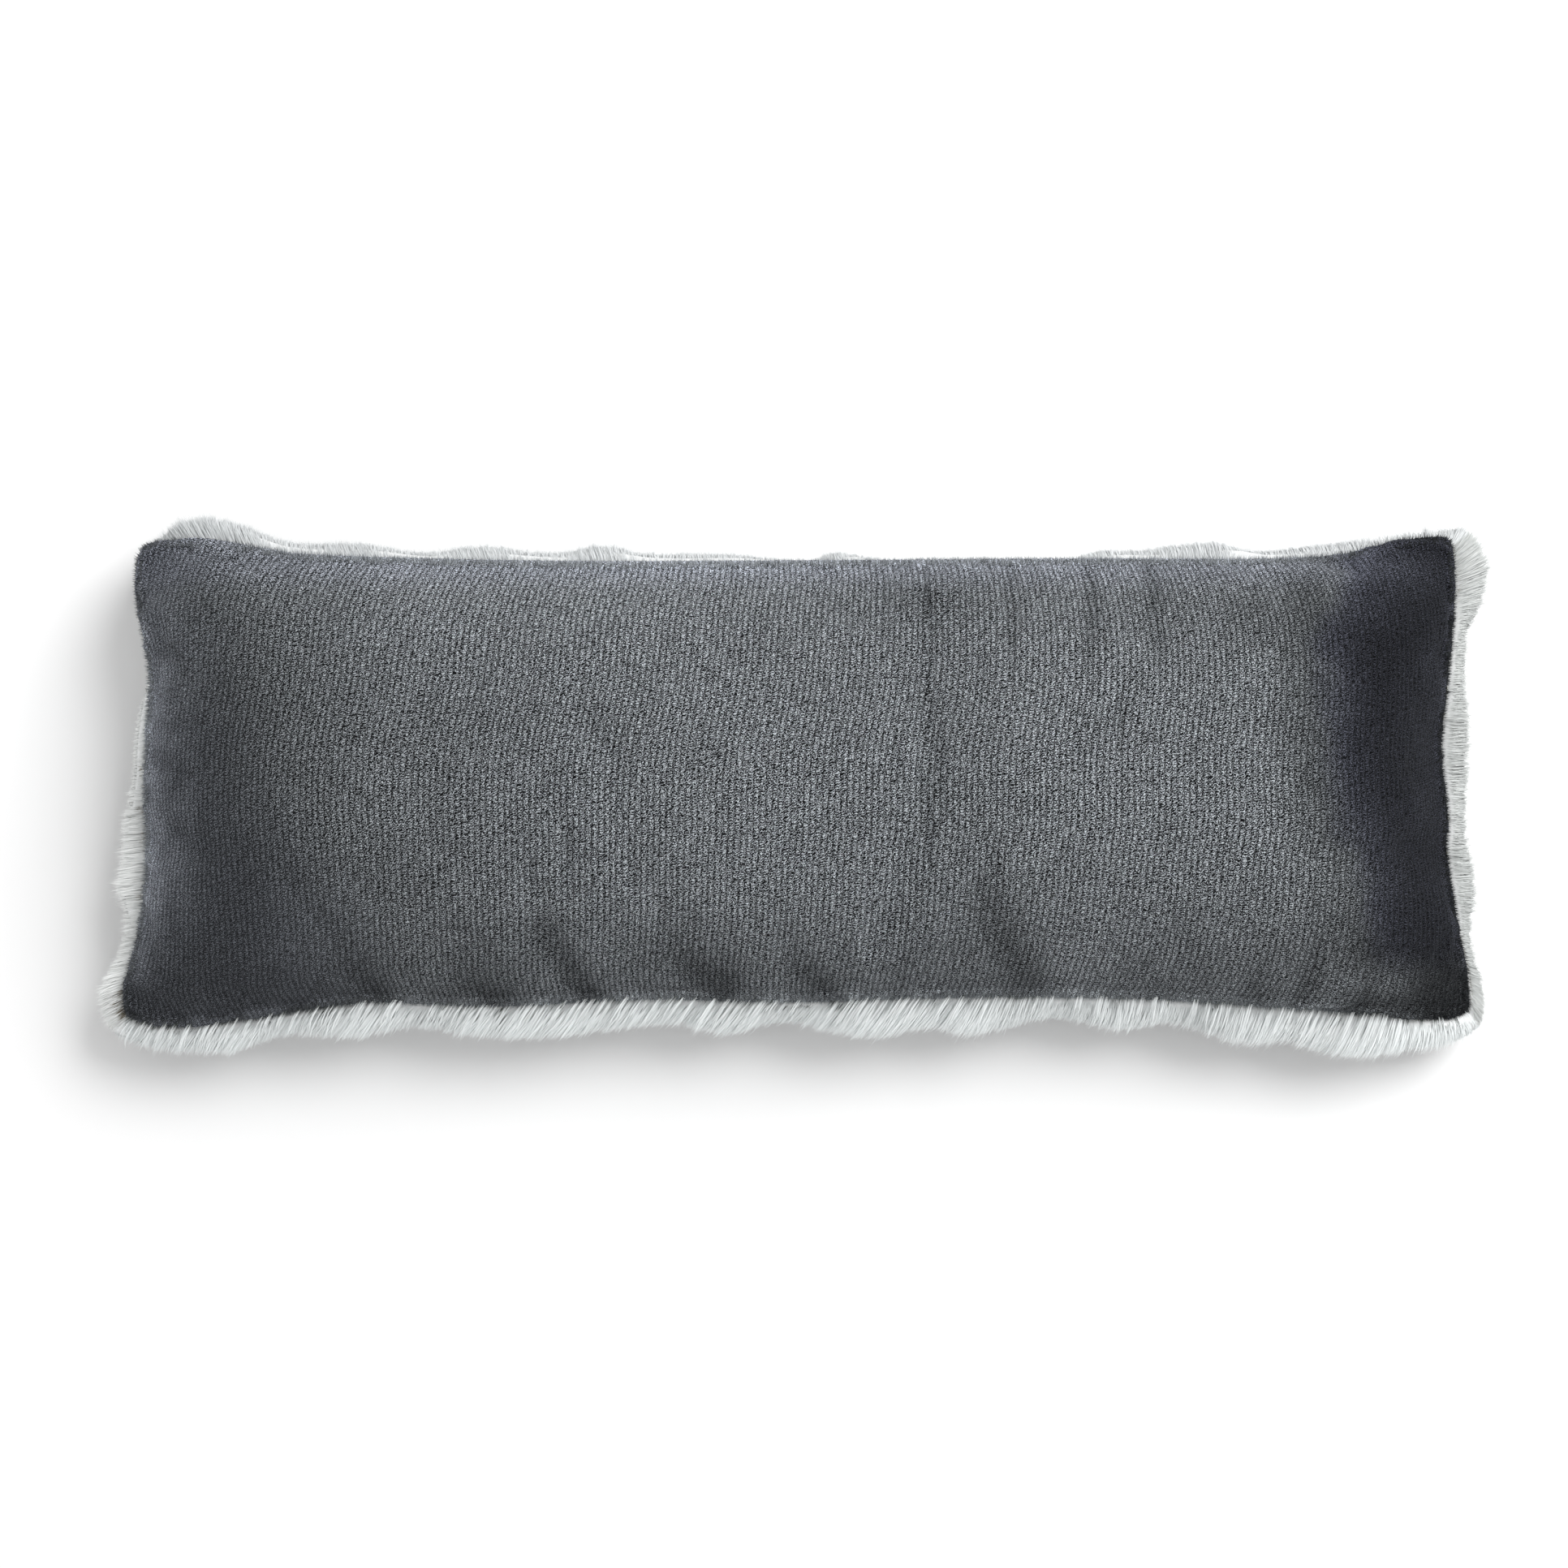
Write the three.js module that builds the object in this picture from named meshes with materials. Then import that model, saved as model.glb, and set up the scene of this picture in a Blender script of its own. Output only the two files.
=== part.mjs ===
// Oblong lumbar pillow, lying on its back: a filled cushion with a ribbed plush face,
// and a long-haired faux fur back whose locks stand out past the seam all round.
// Millimetres. +X runs along the pillow, +Y across it, and +Z up from the surface under it.

import * as THREE from "three";

// Heights of the filled cushion
const SEAM_HEIGHT = 60; // middle of each side, above the surface
const CORNER_DROP = 13; // how much lower the seam hangs at a corner
const DROP_POWER = { along: 8, across: 4 }; // how near the corner that starts, along each side
const CROWN_HEIGHT = 80; // plush face above its own edge, in the middle
const BELLY_DEPTH = 56; // filling below the seam, before the surface flattens it
const BELLY_FLOOR = 12; // lowest point of the filling, on the pressed fur
const BELLY_SOFTNESS = 3; // how gently the belly turns into its flat

// Plan of the plush face, seen from above. Each side is drawn in between its corners.
const TOP_SIDE = [
  { x: -421, y: 157 },
  { x: -385, y: 159.5 },
  { x: -351, y: 156 },
  { x: -315, y: 149.5 },
  { x: -246, y: 147 },
  { x: -120, y: 145 },
  { x: 176, y: 146.5 },
  { x: 308, y: 147.6 },
  { x: 361, y: 150.7 },
  { x: 398, y: 159 },
  { x: 436, y: 163 },
];
const BOTTOM_SIDE = [
  { x: -432, y: -151 },
  { x: -404, y: -158 },
  { x: -351, y: -153.4 },
  { x: -272, y: -143 },
  { x: -193, y: -144.4 },
  { x: -87, y: -139.2 },
  { x: 0, y: -141.2 },
  { x: 123, y: -138.6 },
  { x: 229, y: -140.7 },
  { x: 334, y: -148 },
  { x: 429, y: -153.9 },
  { x: 446, y: -149 },
];
const LEFT_SIDE = [
  { y: -151, x: -432 },
  { y: -118, x: -427.4 },
  { y: -71, x: -419.5 },
  { y: -18, x: -417.4 },
  { y: 35, x: -414.2 },
  { y: 87, x: -415.8 },
  { y: 120, x: -421 },
  { y: 157, x: -421 },
];
const RIGHT_SIDE = [
  { y: -149, x: 446 },
  { y: -97, x: 439 },
  { y: -44, x: 431.5 },
  { y: -20, x: 432.5 },
  { y: 24, x: 428 },
  { y: 61, x: 430 },
  { y: 114, x: 435.3 },
  { y: 163, x: 436 },
];

// How far each corner is rounded off, and over what distance
const CORNER_REACH = 15;
const CORNERS = [
  { side: "top left", s: -1, t: 1, pull: 8 },
  { side: "bottom left", s: -1, t: -1, pull: 6 },
  { side: "top right", s: 1, t: 1, pull: 4 },
  { side: "bottom right", s: 1, t: -1, pull: 1 },
];

// The seam lies under the roll of the plush at the top and left, and at its edge elsewhere
const SEAM_TUCK = { left: 8, right: 1, bottom: 1, top: 8 };
const ROLL_RISE = { left: 9, right: 2.5, bottom: 2.5, top: 9 };
const SIDE_BLEND = { endPower: 40, sidePower: 8 }; // how sharply one side's value takes over from the next

// Slopes of the filled shape: how far in from an end it levels out, and how full it is
const PLUSH_FORM = { endLength: 125, endPower: 2.2, endFullness: 0.72, widthPower: 2.2, widthFullness: 0.55 };
const BELLY_FORM = { endLength: 95, endPower: 2.4, endFullness: 0.7, widthPower: 3, widthFullness: 0.6 };
const FUR_FORM = { endLength: 58, endPower: 2.6, endFullness: 0.6, widthPower: 5, widthFullness: 0.6 };
const END_SAG = 0.05; // share of the crown lost from the middle to the ends

// Ribs of the plush, which run across the pillow from side to side
const RIB_COUNT = 230;
const RIB_HEIGHT = 0.9;
// How far a rib's ends lie along the pillow from its middle: once each way, and both the same way.
// The changes are what is added at the right end and taken off at the left.
const RIB_LEAN = { tilt: 11, tiltChange: 3, bow: 3, bowChange: -10 };

// Soft troughs that the seam and the filling pull into the plush, each from its deep end to its shallow one
const FOLD_START = 4; // a trough has its full depth once the crown is a quarter of its own height
const FOLDS = [
  { fold: "bottom, far left", x0: -254, y0: -134, x1: -284, y1: -100, width: 8, depth: 2.2 },
  { fold: "bottom, left", x0: -178, y0: -134, x1: -212, y1: -112, width: 10, depth: 2.4 },
  { fold: "bottom, left of the middle", x0: -139, y0: -136, x1: -165, y1: -88, width: 10, depth: 4 },
  { fold: "bottom, middle", x0: -45, y0: -134, x1: -84, y1: -84, width: 14, depth: 4 },
  { fold: "bottom, right of the middle", x0: 38, y0: -134, x1: 8, y1: -98, width: 10, depth: 3 },
  { fold: "bottom, right", x0: 160, y0: -132, x1: 123, y1: -48, width: 15, depth: 3.6 },
  { fold: "bottom, far right", x0: 306, y0: -140, x1: 296, y1: -118, width: 7, depth: 2 },
  { fold: "bottom right corner", x0: 372, y0: -142, x1: 378, y1: -98, width: 10, depth: 3 },
  { fold: "top, middle", x0: 63, y0: 130, x1: 63, y1: 84, width: 6, depth: 1.2 },
  { fold: "top, long crease", x0: 95, y0: 120, x1: 92, y1: -20, width: 5, depth: 1.3 },
  { fold: "top, right", x0: 144, y0: 124, x1: 142, y1: 54, width: 5, depth: 1.6 },
  { fold: "top, far right", x0: 192, y0: 124, x1: 190, y1: 56, width: 7, depth: 1.8 },
  { fold: "top, last", x0: 237, y0: 126, x1: 230, y1: 58, width: 7, depth: 1.8 },
  { fold: "left end, upper", x0: -382, y0: 6, x1: -404, y1: -22, width: 6, depth: 2 },
  { fold: "left end, lower", x0: -388, y0: -28, x1: -404, y1: -56, width: 6, depth: 2 },
];

// Fur past the plush edge: how far the hair reaches there, along each side
const FUR_TOP = [
  { at: -436, reach: 0 },
  { at: -404, reach: 2 },
  { at: -377, reach: 14 },
  { at: -351, reach: 12 },
  { at: -325, reach: 6 },
  { at: -270, reach: 8 },
  { at: -235, reach: 3 },
  { at: -193, reach: 9 },
  { at: -150, reach: 5 },
  { at: -119, reach: 10.5 },
  { at: -90, reach: 5 },
  { at: -24, reach: 3 },
  { at: 0, reach: 0 },
  { at: 36, reach: 5 },
  { at: 60, reach: 0 },
  { at: 170, reach: 0 },
  { at: 205, reach: 4 },
  { at: 260, reach: 9 },
  { at: 302, reach: 3 },
  { at: 360, reach: 6.5 },
  { at: 408, reach: 1 },
  { at: 440, reach: 8 },
];
const FUR_BOTTOM = [
  { at: -450, reach: 19 },
  { at: -404, reach: 17 },
  { at: -351, reach: 23 },
  { at: -319, reach: 15 },
  { at: -272, reach: 23 },
  { at: -230, reach: 16 },
  { at: -186, reach: 22 },
  { at: -127, reach: 23 },
  { at: -61, reach: 17 },
  { at: -29, reach: 23 },
  { at: 7, reach: 14 },
  { at: 65, reach: 26 },
  { at: 102, reach: 21 },
  { at: 129, reach: 26 },
  { at: 178, reach: 14 },
  { at: 225, reach: 21 },
  { at: 255, reach: 15 },
  { at: 305, reach: 25 },
  { at: 334, reach: 20.5 },
  { at: 379, reach: 28 },
  { at: 431, reach: 17 },
  { at: 460, reach: 16 },
];
const FUR_LEFT = [
  { at: -172, reach: 10 },
  { at: -137, reach: 16 },
  { at: -110, reach: 4 },
  { at: -66, reach: 17 },
  { at: -30, reach: 11 },
  { at: 8, reach: 2 },
  { at: 48, reach: 5 },
  { at: 74, reach: 0 },
  { at: 165, reach: 0 },
];
const FUR_RIGHT = [
  { at: -172, reach: 14 },
  { at: -144, reach: 11 },
  { at: -102, reach: 5 },
  { at: -63, reach: 15 },
  { at: -23, reach: 9 },
  { at: 30, reach: 16 },
  { at: 66, reach: 11 },
  { at: 92, reach: 7 },
  { at: 135, reach: 21 },
  { at: 170, reach: 14 },
];

// Fur slab, the dense part of the hair
const FUR_GAP = 0.5; // clear of the filling all over
const GAP_DROP = 0.5; // how much of that gap points down at the seam
const LINING_SHY = { s: 0.999, t: 0.99 }; // the belly's slope is read this little inside its edge
const SLAB_SHARE = 0.5; // share of the hair's reach that is dense enough to be slab
const SLAB_TUCK = 1.5; // slab kept this far back under the plush edge where no hair shows
const RIM_DROP = 5; // rim of the slab below the seam
const CREST_SHARE = 0.5; // place of the slab's crest between the seam and its rim
const CREST_RISE = { left: -1.2, right: 0.5, bottom: 2, top: -1.2 };
const FUR_SINK = 4.5; // how far the loose hair would reach below the surface it rests on
const LUMPS = [
  { alongX: 61, alongY: 97, turn: 0.4, height: 3.8 },
  { alongX: 83, alongY: 118, turn: 0.6, height: 3.1 },
  { alongX: 137, alongY: 71, turn: 0.5, height: 2.4 },
];
const LUMP_FADE = 12; // how near the rim the lumps die away

// Locks grown from the slab in rows round the pillow: how many on a long and a short side
const LOCKS = { longSide: 56, shortSide: 19, uneven: 0.35 };
const LOCK_ROWS = [
  { row: "over the seam", droop: 0.1, droopMore: 0.25, bend: 0.12, shortest: 15, longest: 26 },
  { row: "round the side", droop: 0.8, droopMore: 0.3, bend: 0.1, shortest: 16, longest: 24 },
];
const LOCK_WAIST = 0.75; // width of a lock halfway along, against its root
const LOCK_END = 0.4; // length of a lock where there is no room for one
const LEAST_OUTWARD = 0.5; // a lock's length is worked out as if at least this share of it led straight out
const LOCK_SHIFT = 5; // places by which one row's chances differ from the next row's
const TIP_CLEARANCE = 2; // tips stay this far above the surface
const SIDE_RING = { s: 0.988, t: 0.95 }; // the slab's outer face, ring by ring inwards
const SLAB_EDGE = { s: 0.972, t: 0.88 };

// Which way the hair lies, in degrees from straight out, positive anticlockwise seen from above.
// The places are shares of the locks, anticlockwise from the bottom left corner.
const HAIR_LAY = [
  { at: 0, turn: -22 },
  { at: 0.03, turn: -34 },
  { at: 0.22, turn: -36 },
  { at: 0.26, turn: -14 },
  { at: 0.3, turn: -14 },
  { at: 0.34, turn: -28 },
  { at: 0.37, turn: -12 },
  { at: 0.4, turn: 0 },
  { at: 0.5, turn: 4 },
  { at: 0.7, turn: 14 },
  { at: 0.8, turn: 28 },
  { at: 0.87, turn: 18 },
  { at: 0.92, turn: 6 },
  { at: 1, turn: 10 },
];

// How finely each face is divided
const PLUSH_ROWS = 9;
const UNDER_COLUMNS = 36;
const FUR_COLUMNS = 58;
const FUR_ROWS = 12;
const ARC_STEPS = 240;
const SLOPE_STEP = 0.002;
const TINY = 1e-6;

const COLOURS = { plush: 0x6c7074, fur: 0xd3d7d6 };
const ROUGHNESS = { plush: 0.95, fur: 1 };

const { lerp, clamp, degToRad } = THREE.MathUtils;
const DOWN = new THREE.Vector3(0, 0, -1);
const GOLDEN = (Math.sqrt(5) - 1) / 2;

// An even spread of numbers from 0 to 1 that never repeats
const spread = (n) => (n * GOLDEN) % 1;

// Smooth curve through a table's rows: one column's value where another column equals at
function readTable(rows, from, to, at) {
  let i = 0;
  while (i < rows.length - 2 && at > rows[i + 1][from]) i += 1;
  const slope = (k) => {
    const before = rows[Math.max(k - 1, 0)];
    const after = rows[Math.min(k + 1, rows.length - 1)];
    return (after[to] - before[to]) / (after[from] - before[from]);
  };
  const start = rows[i];
  const end = rows[i + 1];
  const span = end[from] - start[from];
  const f = clamp((at - start[from]) / span, 0, 1);
  const ease = f * f * (3 - 2 * f);
  const lead = f * (1 - f) * (1 - f) * slope(i) * span;
  const trail = f * f * (1 - f) * slope(i + 1) * span;
  return lerp(start[to], end[to], ease) + lead - trail;
}

// Outline shifts: how far a layer's sides lie outside the plush edge
const plushEdge = { left: () => 0, right: () => 0, bottom: () => 0, top: () => 0 };
const seamEdge = {
  left: () => -SEAM_TUCK.left,
  right: () => -SEAM_TUCK.right,
  bottom: () => -SEAM_TUCK.bottom,
  top: () => -SEAM_TUCK.top,
};
const slabReach = (table) => (at) => {
  const reach = Math.max(0, readTable(table, "at", "reach", at));
  return SLAB_SHARE * reach - SLAB_TUCK * Math.exp(-reach / SLAB_TUCK);
};
const slabEdge = {
  left: slabReach(FUR_LEFT),
  right: slabReach(FUR_RIGHT),
  bottom: slabReach(FUR_BOTTOM),
  top: slabReach(FUR_TOP),
};

// Place on the plan for s along and t across, both from -1 to 1, inside shifted sides
function planPoint(s, t, edge) {
  const right = (1 + s) / 2;
  const up = (1 + t) / 2;
  const first = (side) => side[0];
  const last = (side) => side[side.length - 1];
  const leftY = lerp(first(LEFT_SIDE).y, last(LEFT_SIDE).y, up);
  const rightY = lerp(first(RIGHT_SIDE).y, last(RIGHT_SIDE).y, up);
  const topX = lerp(first(TOP_SIDE).x, last(TOP_SIDE).x, right);
  const bottomX = lerp(first(BOTTOM_SIDE).x, last(BOTTOM_SIDE).x, right);
  const leftX = readTable(LEFT_SIDE, "y", "x", leftY) - edge.left(leftY);
  const rightX = readTable(RIGHT_SIDE, "y", "x", rightY) + edge.right(rightY);
  const topY = readTable(TOP_SIDE, "x", "y", topX) + edge.top(topX);
  const bottomY = readTable(BOTTOM_SIDE, "x", "y", bottomX) - edge.bottom(bottomX);
  const place = { x: lerp(leftX, rightX, right), y: lerp(bottomY, topY, up), leftX, rightX };
  for (const corner of CORNERS) {
    const cornerX = corner.s < 0 ? leftX : rightX;
    const cornerY = corner.t < 0 ? bottomY : topY;
    const near = Math.hypot(place.x - cornerX, place.y - cornerY) / CORNER_REACH;
    const off = (corner.pull * Math.exp(-near * near) * (1 + corner.s * s) * (1 + corner.t * t)) / 4;
    place.x -= corner.s * off * Math.SQRT1_2;
    place.y -= corner.t * off * Math.SQRT1_2;
  }
  return place;
}

// Share of the full height: 0 at every side, 1 over the middle
function fullness(place, t, form) {
  const fromEnd = Math.max(0, Math.min(place.x - place.leftX, place.rightX - place.x));
  const inward = 1 - Math.min(fromEnd / form.endLength, 1);
  const end = (1 - inward ** form.endPower) ** form.endFullness;
  const width = (1 - Math.min(Math.abs(t), 1) ** form.widthPower) ** form.widthFullness;
  return end * width;
}

function seamHeight(s, t) {
  return SEAM_HEIGHT - CORNER_DROP * s ** DROP_POWER.along * t ** DROP_POWER.across;
}

// Value of a setting with one number for each side, blended round the corners
function bySide(setting, s, t) {
  const endWeight = s ** SIDE_BLEND.endPower;
  const sideWeight = t ** SIDE_BLEND.sidePower;
  const end = s < 0 ? setting.left : setting.right;
  const side = t < 0 ? setting.bottom : setting.top;
  return (end * endWeight + side * sideWeight) / Math.max(endWeight + sideWeight, TINY);
}

function foldDepth(x, y) {
  let depth = 0;
  for (const fold of FOLDS) {
    const runX = fold.x1 - fold.x0;
    const runY = fold.y1 - fold.y0;
    const run = runX * runX + runY * runY;
    const f = clamp(((x - fold.x0) * runX + (y - fold.y0) * runY) / run, 0, 1);
    const off = Math.hypot(x - fold.x0 - f * runX, y - fold.y0 - f * runY) / fold.width;
    depth += fold.depth * Math.exp(-off * off) * (1 - f * f);
  }
  return depth;
}

// Ribbed plush face, without its ribs
function plushPoint(s, t) {
  const place = planPoint(s, t, plushEdge);
  const full = fullness(place, t, PLUSH_FORM);
  const roll = bySide(ROLL_RISE, s, t) * (1 - full);
  const crown = CROWN_HEIGHT * full * (1 - END_SAG * s * s);
  const fold = foldDepth(place.x, place.y) * Math.min(1, FOLD_START * full);
  return new THREE.Vector3(place.x, place.y, seamHeight(s, t) + roll + crown - fold);
}

// Underside of the filled cushion, from the seam down to its flat
function bellyPoint(s, t) {
  const place = planPoint(s, t, seamEdge);
  const hanging = seamHeight(s, t) - BELLY_DEPTH * fullness(place, t, BELLY_FORM);
  const aboveFloor = (hanging - BELLY_FLOOR) / BELLY_SOFTNESS;
  const z = BELLY_FLOOR + BELLY_SOFTNESS * Math.log1p(Math.exp(aboveFloor));
  return new THREE.Vector3(place.x, place.y, z);
}

// Outer face of the fur slab, before its lumps
function furPoint(s, t) {
  const place = planPoint(s, t, slabEdge);
  const rim = seamHeight(s, t) - RIM_DROP;
  return new THREE.Vector3(place.x, place.y, rim - (rim + FUR_SINK) * fullness(place, t, FUR_FORM));
}

// Direction straight out of a face, with up as +1 and down as -1
function outward(face, s, t, way) {
  const back = Math.max(s - SLOPE_STEP, -1);
  const ahead = Math.min(s + SLOPE_STEP, 1);
  const below = Math.max(t - SLOPE_STEP, -1);
  const above = Math.min(t + SLOPE_STEP, 1);
  const alongS = face(ahead, t).sub(face(back, t));
  const alongT = face(s, above).sub(face(s, below));
  return alongS.cross(alongT).normalize().multiplyScalar(way);
}

function lumpHeight(x, y) {
  let height = 0;
  for (const lump of LUMPS) {
    height += lump.height * Math.sin(x / lump.alongX * 2 * Math.PI + lump.turn)
      * Math.cos(y / lump.alongY * 2 * Math.PI - lump.turn);
  }
  return height;
}

// Slab face with its lumps, pressed flat where it would reach below the surface
function shagPoint(s, t) {
  const point = furPoint(s, t);
  const inside = 1 - Math.max(Math.abs(s), Math.abs(t)) ** LUMP_FADE;
  point.addScaledVector(outward(furPoint, s, t, -1), inside * lumpHeight(point.x, point.y));
  point.z = Math.max(0, point.z);
  return point;
}

// Rows of a face are closer together towards the sides, where it turns down
const evenTurn = (count) => (j) => -Math.cos((j / count) * Math.PI);

// Columns at equal lengths along the cloth of one row, leaning and bowing as the ribs do
function ribColumns(t, count) {
  const samples = [];
  let length = 0;
  let last = plushPoint(-1, t);
  for (let i = 0; i <= ARC_STEPS; i += 1) {
    const s = Math.sin(((i / ARC_STEPS) * 2 - 1) * (Math.PI / 2));
    const point = plushPoint(s, t);
    length += point.distanceTo(last);
    samples.push({ length, s });
    last = point;
  }
  return (k) => {
    const even = (k / count) * 2 - 1;
    const tilt = RIB_LEAN.tilt + RIB_LEAN.tiltChange * even;
    const bow = RIB_LEAN.bow + RIB_LEAN.bowChange * even;
    const shift = (tilt * t + bow * t * t) * (1 - even * even);
    const wanted = ((even + 1) / 2) * length + shift;
    let i = 1;
    while (i < samples.length - 1 && samples[i].length < wanted) i += 1;
    const from = samples[i - 1];
    const to = samples[i];
    const f = (wanted - from.length) / Math.max(to.length - from.length, TINY);
    return clamp(lerp(from.s, to.s, f), -1, 1);
  };
}

// A grid of point numbers, row by row
class Grid {
  constructor(columns, rows, first) {
    this.columns = columns;
    this.rows = rows;
    this.first = first;
  }

  at(i, j) {
    return this.first + j * (this.columns + 1) + i;
  }

  // Two triangles for each cell, facing up, or facing down when flipped
  faces(flipped) {
    const faces = [];
    for (let j = 0; j < this.rows; j += 1) {
      for (let i = 0; i < this.columns; i += 1) {
        const [a, b, c, d] = [this.at(i, j), this.at(i + 1, j), this.at(i + 1, j + 1), this.at(i, j + 1)];
        if (flipped) faces.push([a, c, b], [a, d, c]);
        else faces.push([a, b, c], [a, c, d]);
      }
    }
    return faces;
  }

  // Its four sides, anticlockwise from above, starting at the bottom left corner
  sides() {
    const loop = [];
    for (let i = 0; i < this.columns; i += 1) loop.push(this.at(i, 0));
    for (let j = 0; j < this.rows; j += 1) loop.push(this.at(this.columns, j));
    for (let i = this.columns; i > 0; i -= 1) loop.push(this.at(i, this.rows));
    for (let j = this.rows; j > 0; j -= 1) loop.push(this.at(0, j));
    return splitSides(loop, this.columns, this.rows);
  }
}

// A loop's four sides, each with the corners at both its ends
function splitSides(loop, longSide, shortSide) {
  let first = 0;
  return [longSide, shortSide, longSide, shortSide].map((count) => {
    const side = [];
    for (let k = 0; k <= count; k += 1) side.push(loop[(first + k) % loop.length]);
    first += count;
    return side;
  });
}

// Collects the points and triangles of one closed solid
class Shell {
  constructor() {
    this.points = [];
    this.triangles = [];
  }

  addPoints(points) {
    const first = this.points.length;
    this.points.push(...points);
    return points.map((_, k) => first + k);
  }

  addGrid(columns, rows, makePoint) {
    const first = this.points.length;
    for (let j = 0; j <= rows; j += 1) {
      for (let i = 0; i <= columns; i += 1) this.points.push(makePoint(i, j));
    }
    return new Grid(columns, rows, first);
  }

  // Share of a side's plan length at each of its points, from 0 to 1
  shares(side) {
    const lengths = [0];
    for (let k = 1; k < side.length; k += 1) {
      const last = this.points[side[k - 1]];
      const here = this.points[side[k]];
      lengths.push(lengths[k - 1] + Math.hypot(here.x - last.x, here.y - last.y));
    }
    return lengths.map((length) => length / lengths[side.length - 1]);
  }

  // Joins the sides of an upper loop to those of a lower one, whatever their counts of points
  joinSides(upperSides, lowerSides) {
    upperSides.forEach((upper, side) => {
      const lower = lowerSides[side];
      const upperShares = this.shares(upper);
      const lowerShares = this.shares(lower);
      let i = 0;
      let j = 0;
      while (i < upper.length - 1 || j < lower.length - 1) {
        const nextUpper = upperShares[i + 1] ?? Infinity;
        const nextLower = lowerShares[j + 1] ?? Infinity;
        if (nextUpper <= nextLower) {
          this.triangles.push([upper[i], lower[j], upper[i + 1]]);
          i += 1;
        } else {
          this.triangles.push([upper[i], lower[j], lower[j + 1]]);
          j += 1;
        }
      }
    });
  }

  // A lock in place of one four-sided face: its root is the face, and it narrows to its tip
  addLock(root, middle, tip) {
    const centre = new THREE.Vector3();
    for (const corner of root) centre.addScaledVector(this.points[corner], 1 / root.length);
    const waist = this.addPoints(root.map((corner) =>
      this.points[corner].clone().sub(centre).multiplyScalar(LOCK_WAIST).add(middle)));
    const [end] = this.addPoints([tip]);
    root.forEach((corner, k) => {
      const next = (k + 1) % root.length;
      this.triangles.push([corner, root[next], waist[next]]);
      this.triangles.push([corner, waist[next], waist[k]]);
      this.triangles.push([waist[k], waist[next], end]);
    });
  }

  geometry() {
    const geometry = new THREE.BufferGeometry().setFromPoints(this.points);
    geometry.setIndex(this.triangles.flat());
    geometry.computeVertexNormals();
    return geometry;
  }
}

// Filled cushion: ribbed plush above, its roll down to the seam, and the belly below
function makeCushion() {
  const shell = new Shell();
  const columns = RIB_COUNT * 2;
  const rowPlace = evenTurn(PLUSH_ROWS);
  const rowColumns = [];
  for (let j = 0; j <= PLUSH_ROWS; j += 1) rowColumns.push(ribColumns(rowPlace(j), columns));
  const plush = shell.addGrid(columns, PLUSH_ROWS, (i, j) => {
    const s = rowColumns[j](i);
    const t = rowPlace(j);
    const point = plushPoint(s, t);
    const onEdge = i === 0 || i === columns || j === 0 || j === PLUSH_ROWS;
    const isRidge = i % 2 === 1 && !onEdge;
    return isRidge ? point.addScaledVector(outward(plushPoint, s, t, 1), RIB_HEIGHT) : point;
  });
  const columnPlace = evenTurn(UNDER_COLUMNS);
  const under = shell.addGrid(UNDER_COLUMNS, PLUSH_ROWS, (i, j) => bellyPoint(columnPlace(i), rowPlace(j)));
  shell.triangles.push(...plush.faces(false), ...under.faces(true));
  shell.joinSides(plush.sides(), under.sides());
  return shell.geometry();
}

// Places round the pillow, anticlockwise from the bottom left corner, with the way each side faces
function rimPlaces(longSide, shortSide) {
  const places = [];
  const sides = [
    { count: longSide, place: (f) => ({ s: 2 * f - 1, t: -1 }), face: -90, hair: FUR_BOTTOM },
    { count: shortSide, place: (f) => ({ s: 1, t: 2 * f - 1 }), face: 0, hair: FUR_RIGHT },
    { count: longSide, place: (f) => ({ s: 1 - 2 * f, t: 1 }), face: 90, hair: FUR_TOP },
    { count: shortSide, place: (f) => ({ s: -1, t: 1 - 2 * f }), face: 180, hair: FUR_LEFT },
  ];
  for (const { count, place, face, hair } of sides) {
    for (let k = 0; k < count; k += 1) {
      const shift = k === 0 ? 0 : LOCKS.uneven * (spread(k) - 0.5);
      places.push({ ...place((k + shift) / count), face, hair });
    }
  }
  return places;
}

// Just outside the filling, for the slab's inner face
function liningPoint(s, t) {
  const way = outward(bellyPoint, s * LINING_SHY.s, t * LINING_SHY.t, -1);
  return bellyPoint(s, t).addScaledVector(way.addScaledVector(DOWN, GAP_DROP).normalize(), FUR_GAP);
}

// Highest line of the slab, between the seam and the rim
function crestPoint({ s, t }) {
  const crest = bellyPoint(s, t).lerp(furPoint(s, t), CREST_SHARE);
  return crest.setZ(seamHeight(s, t) + bySide(CREST_RISE, s, t));
}

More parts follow.
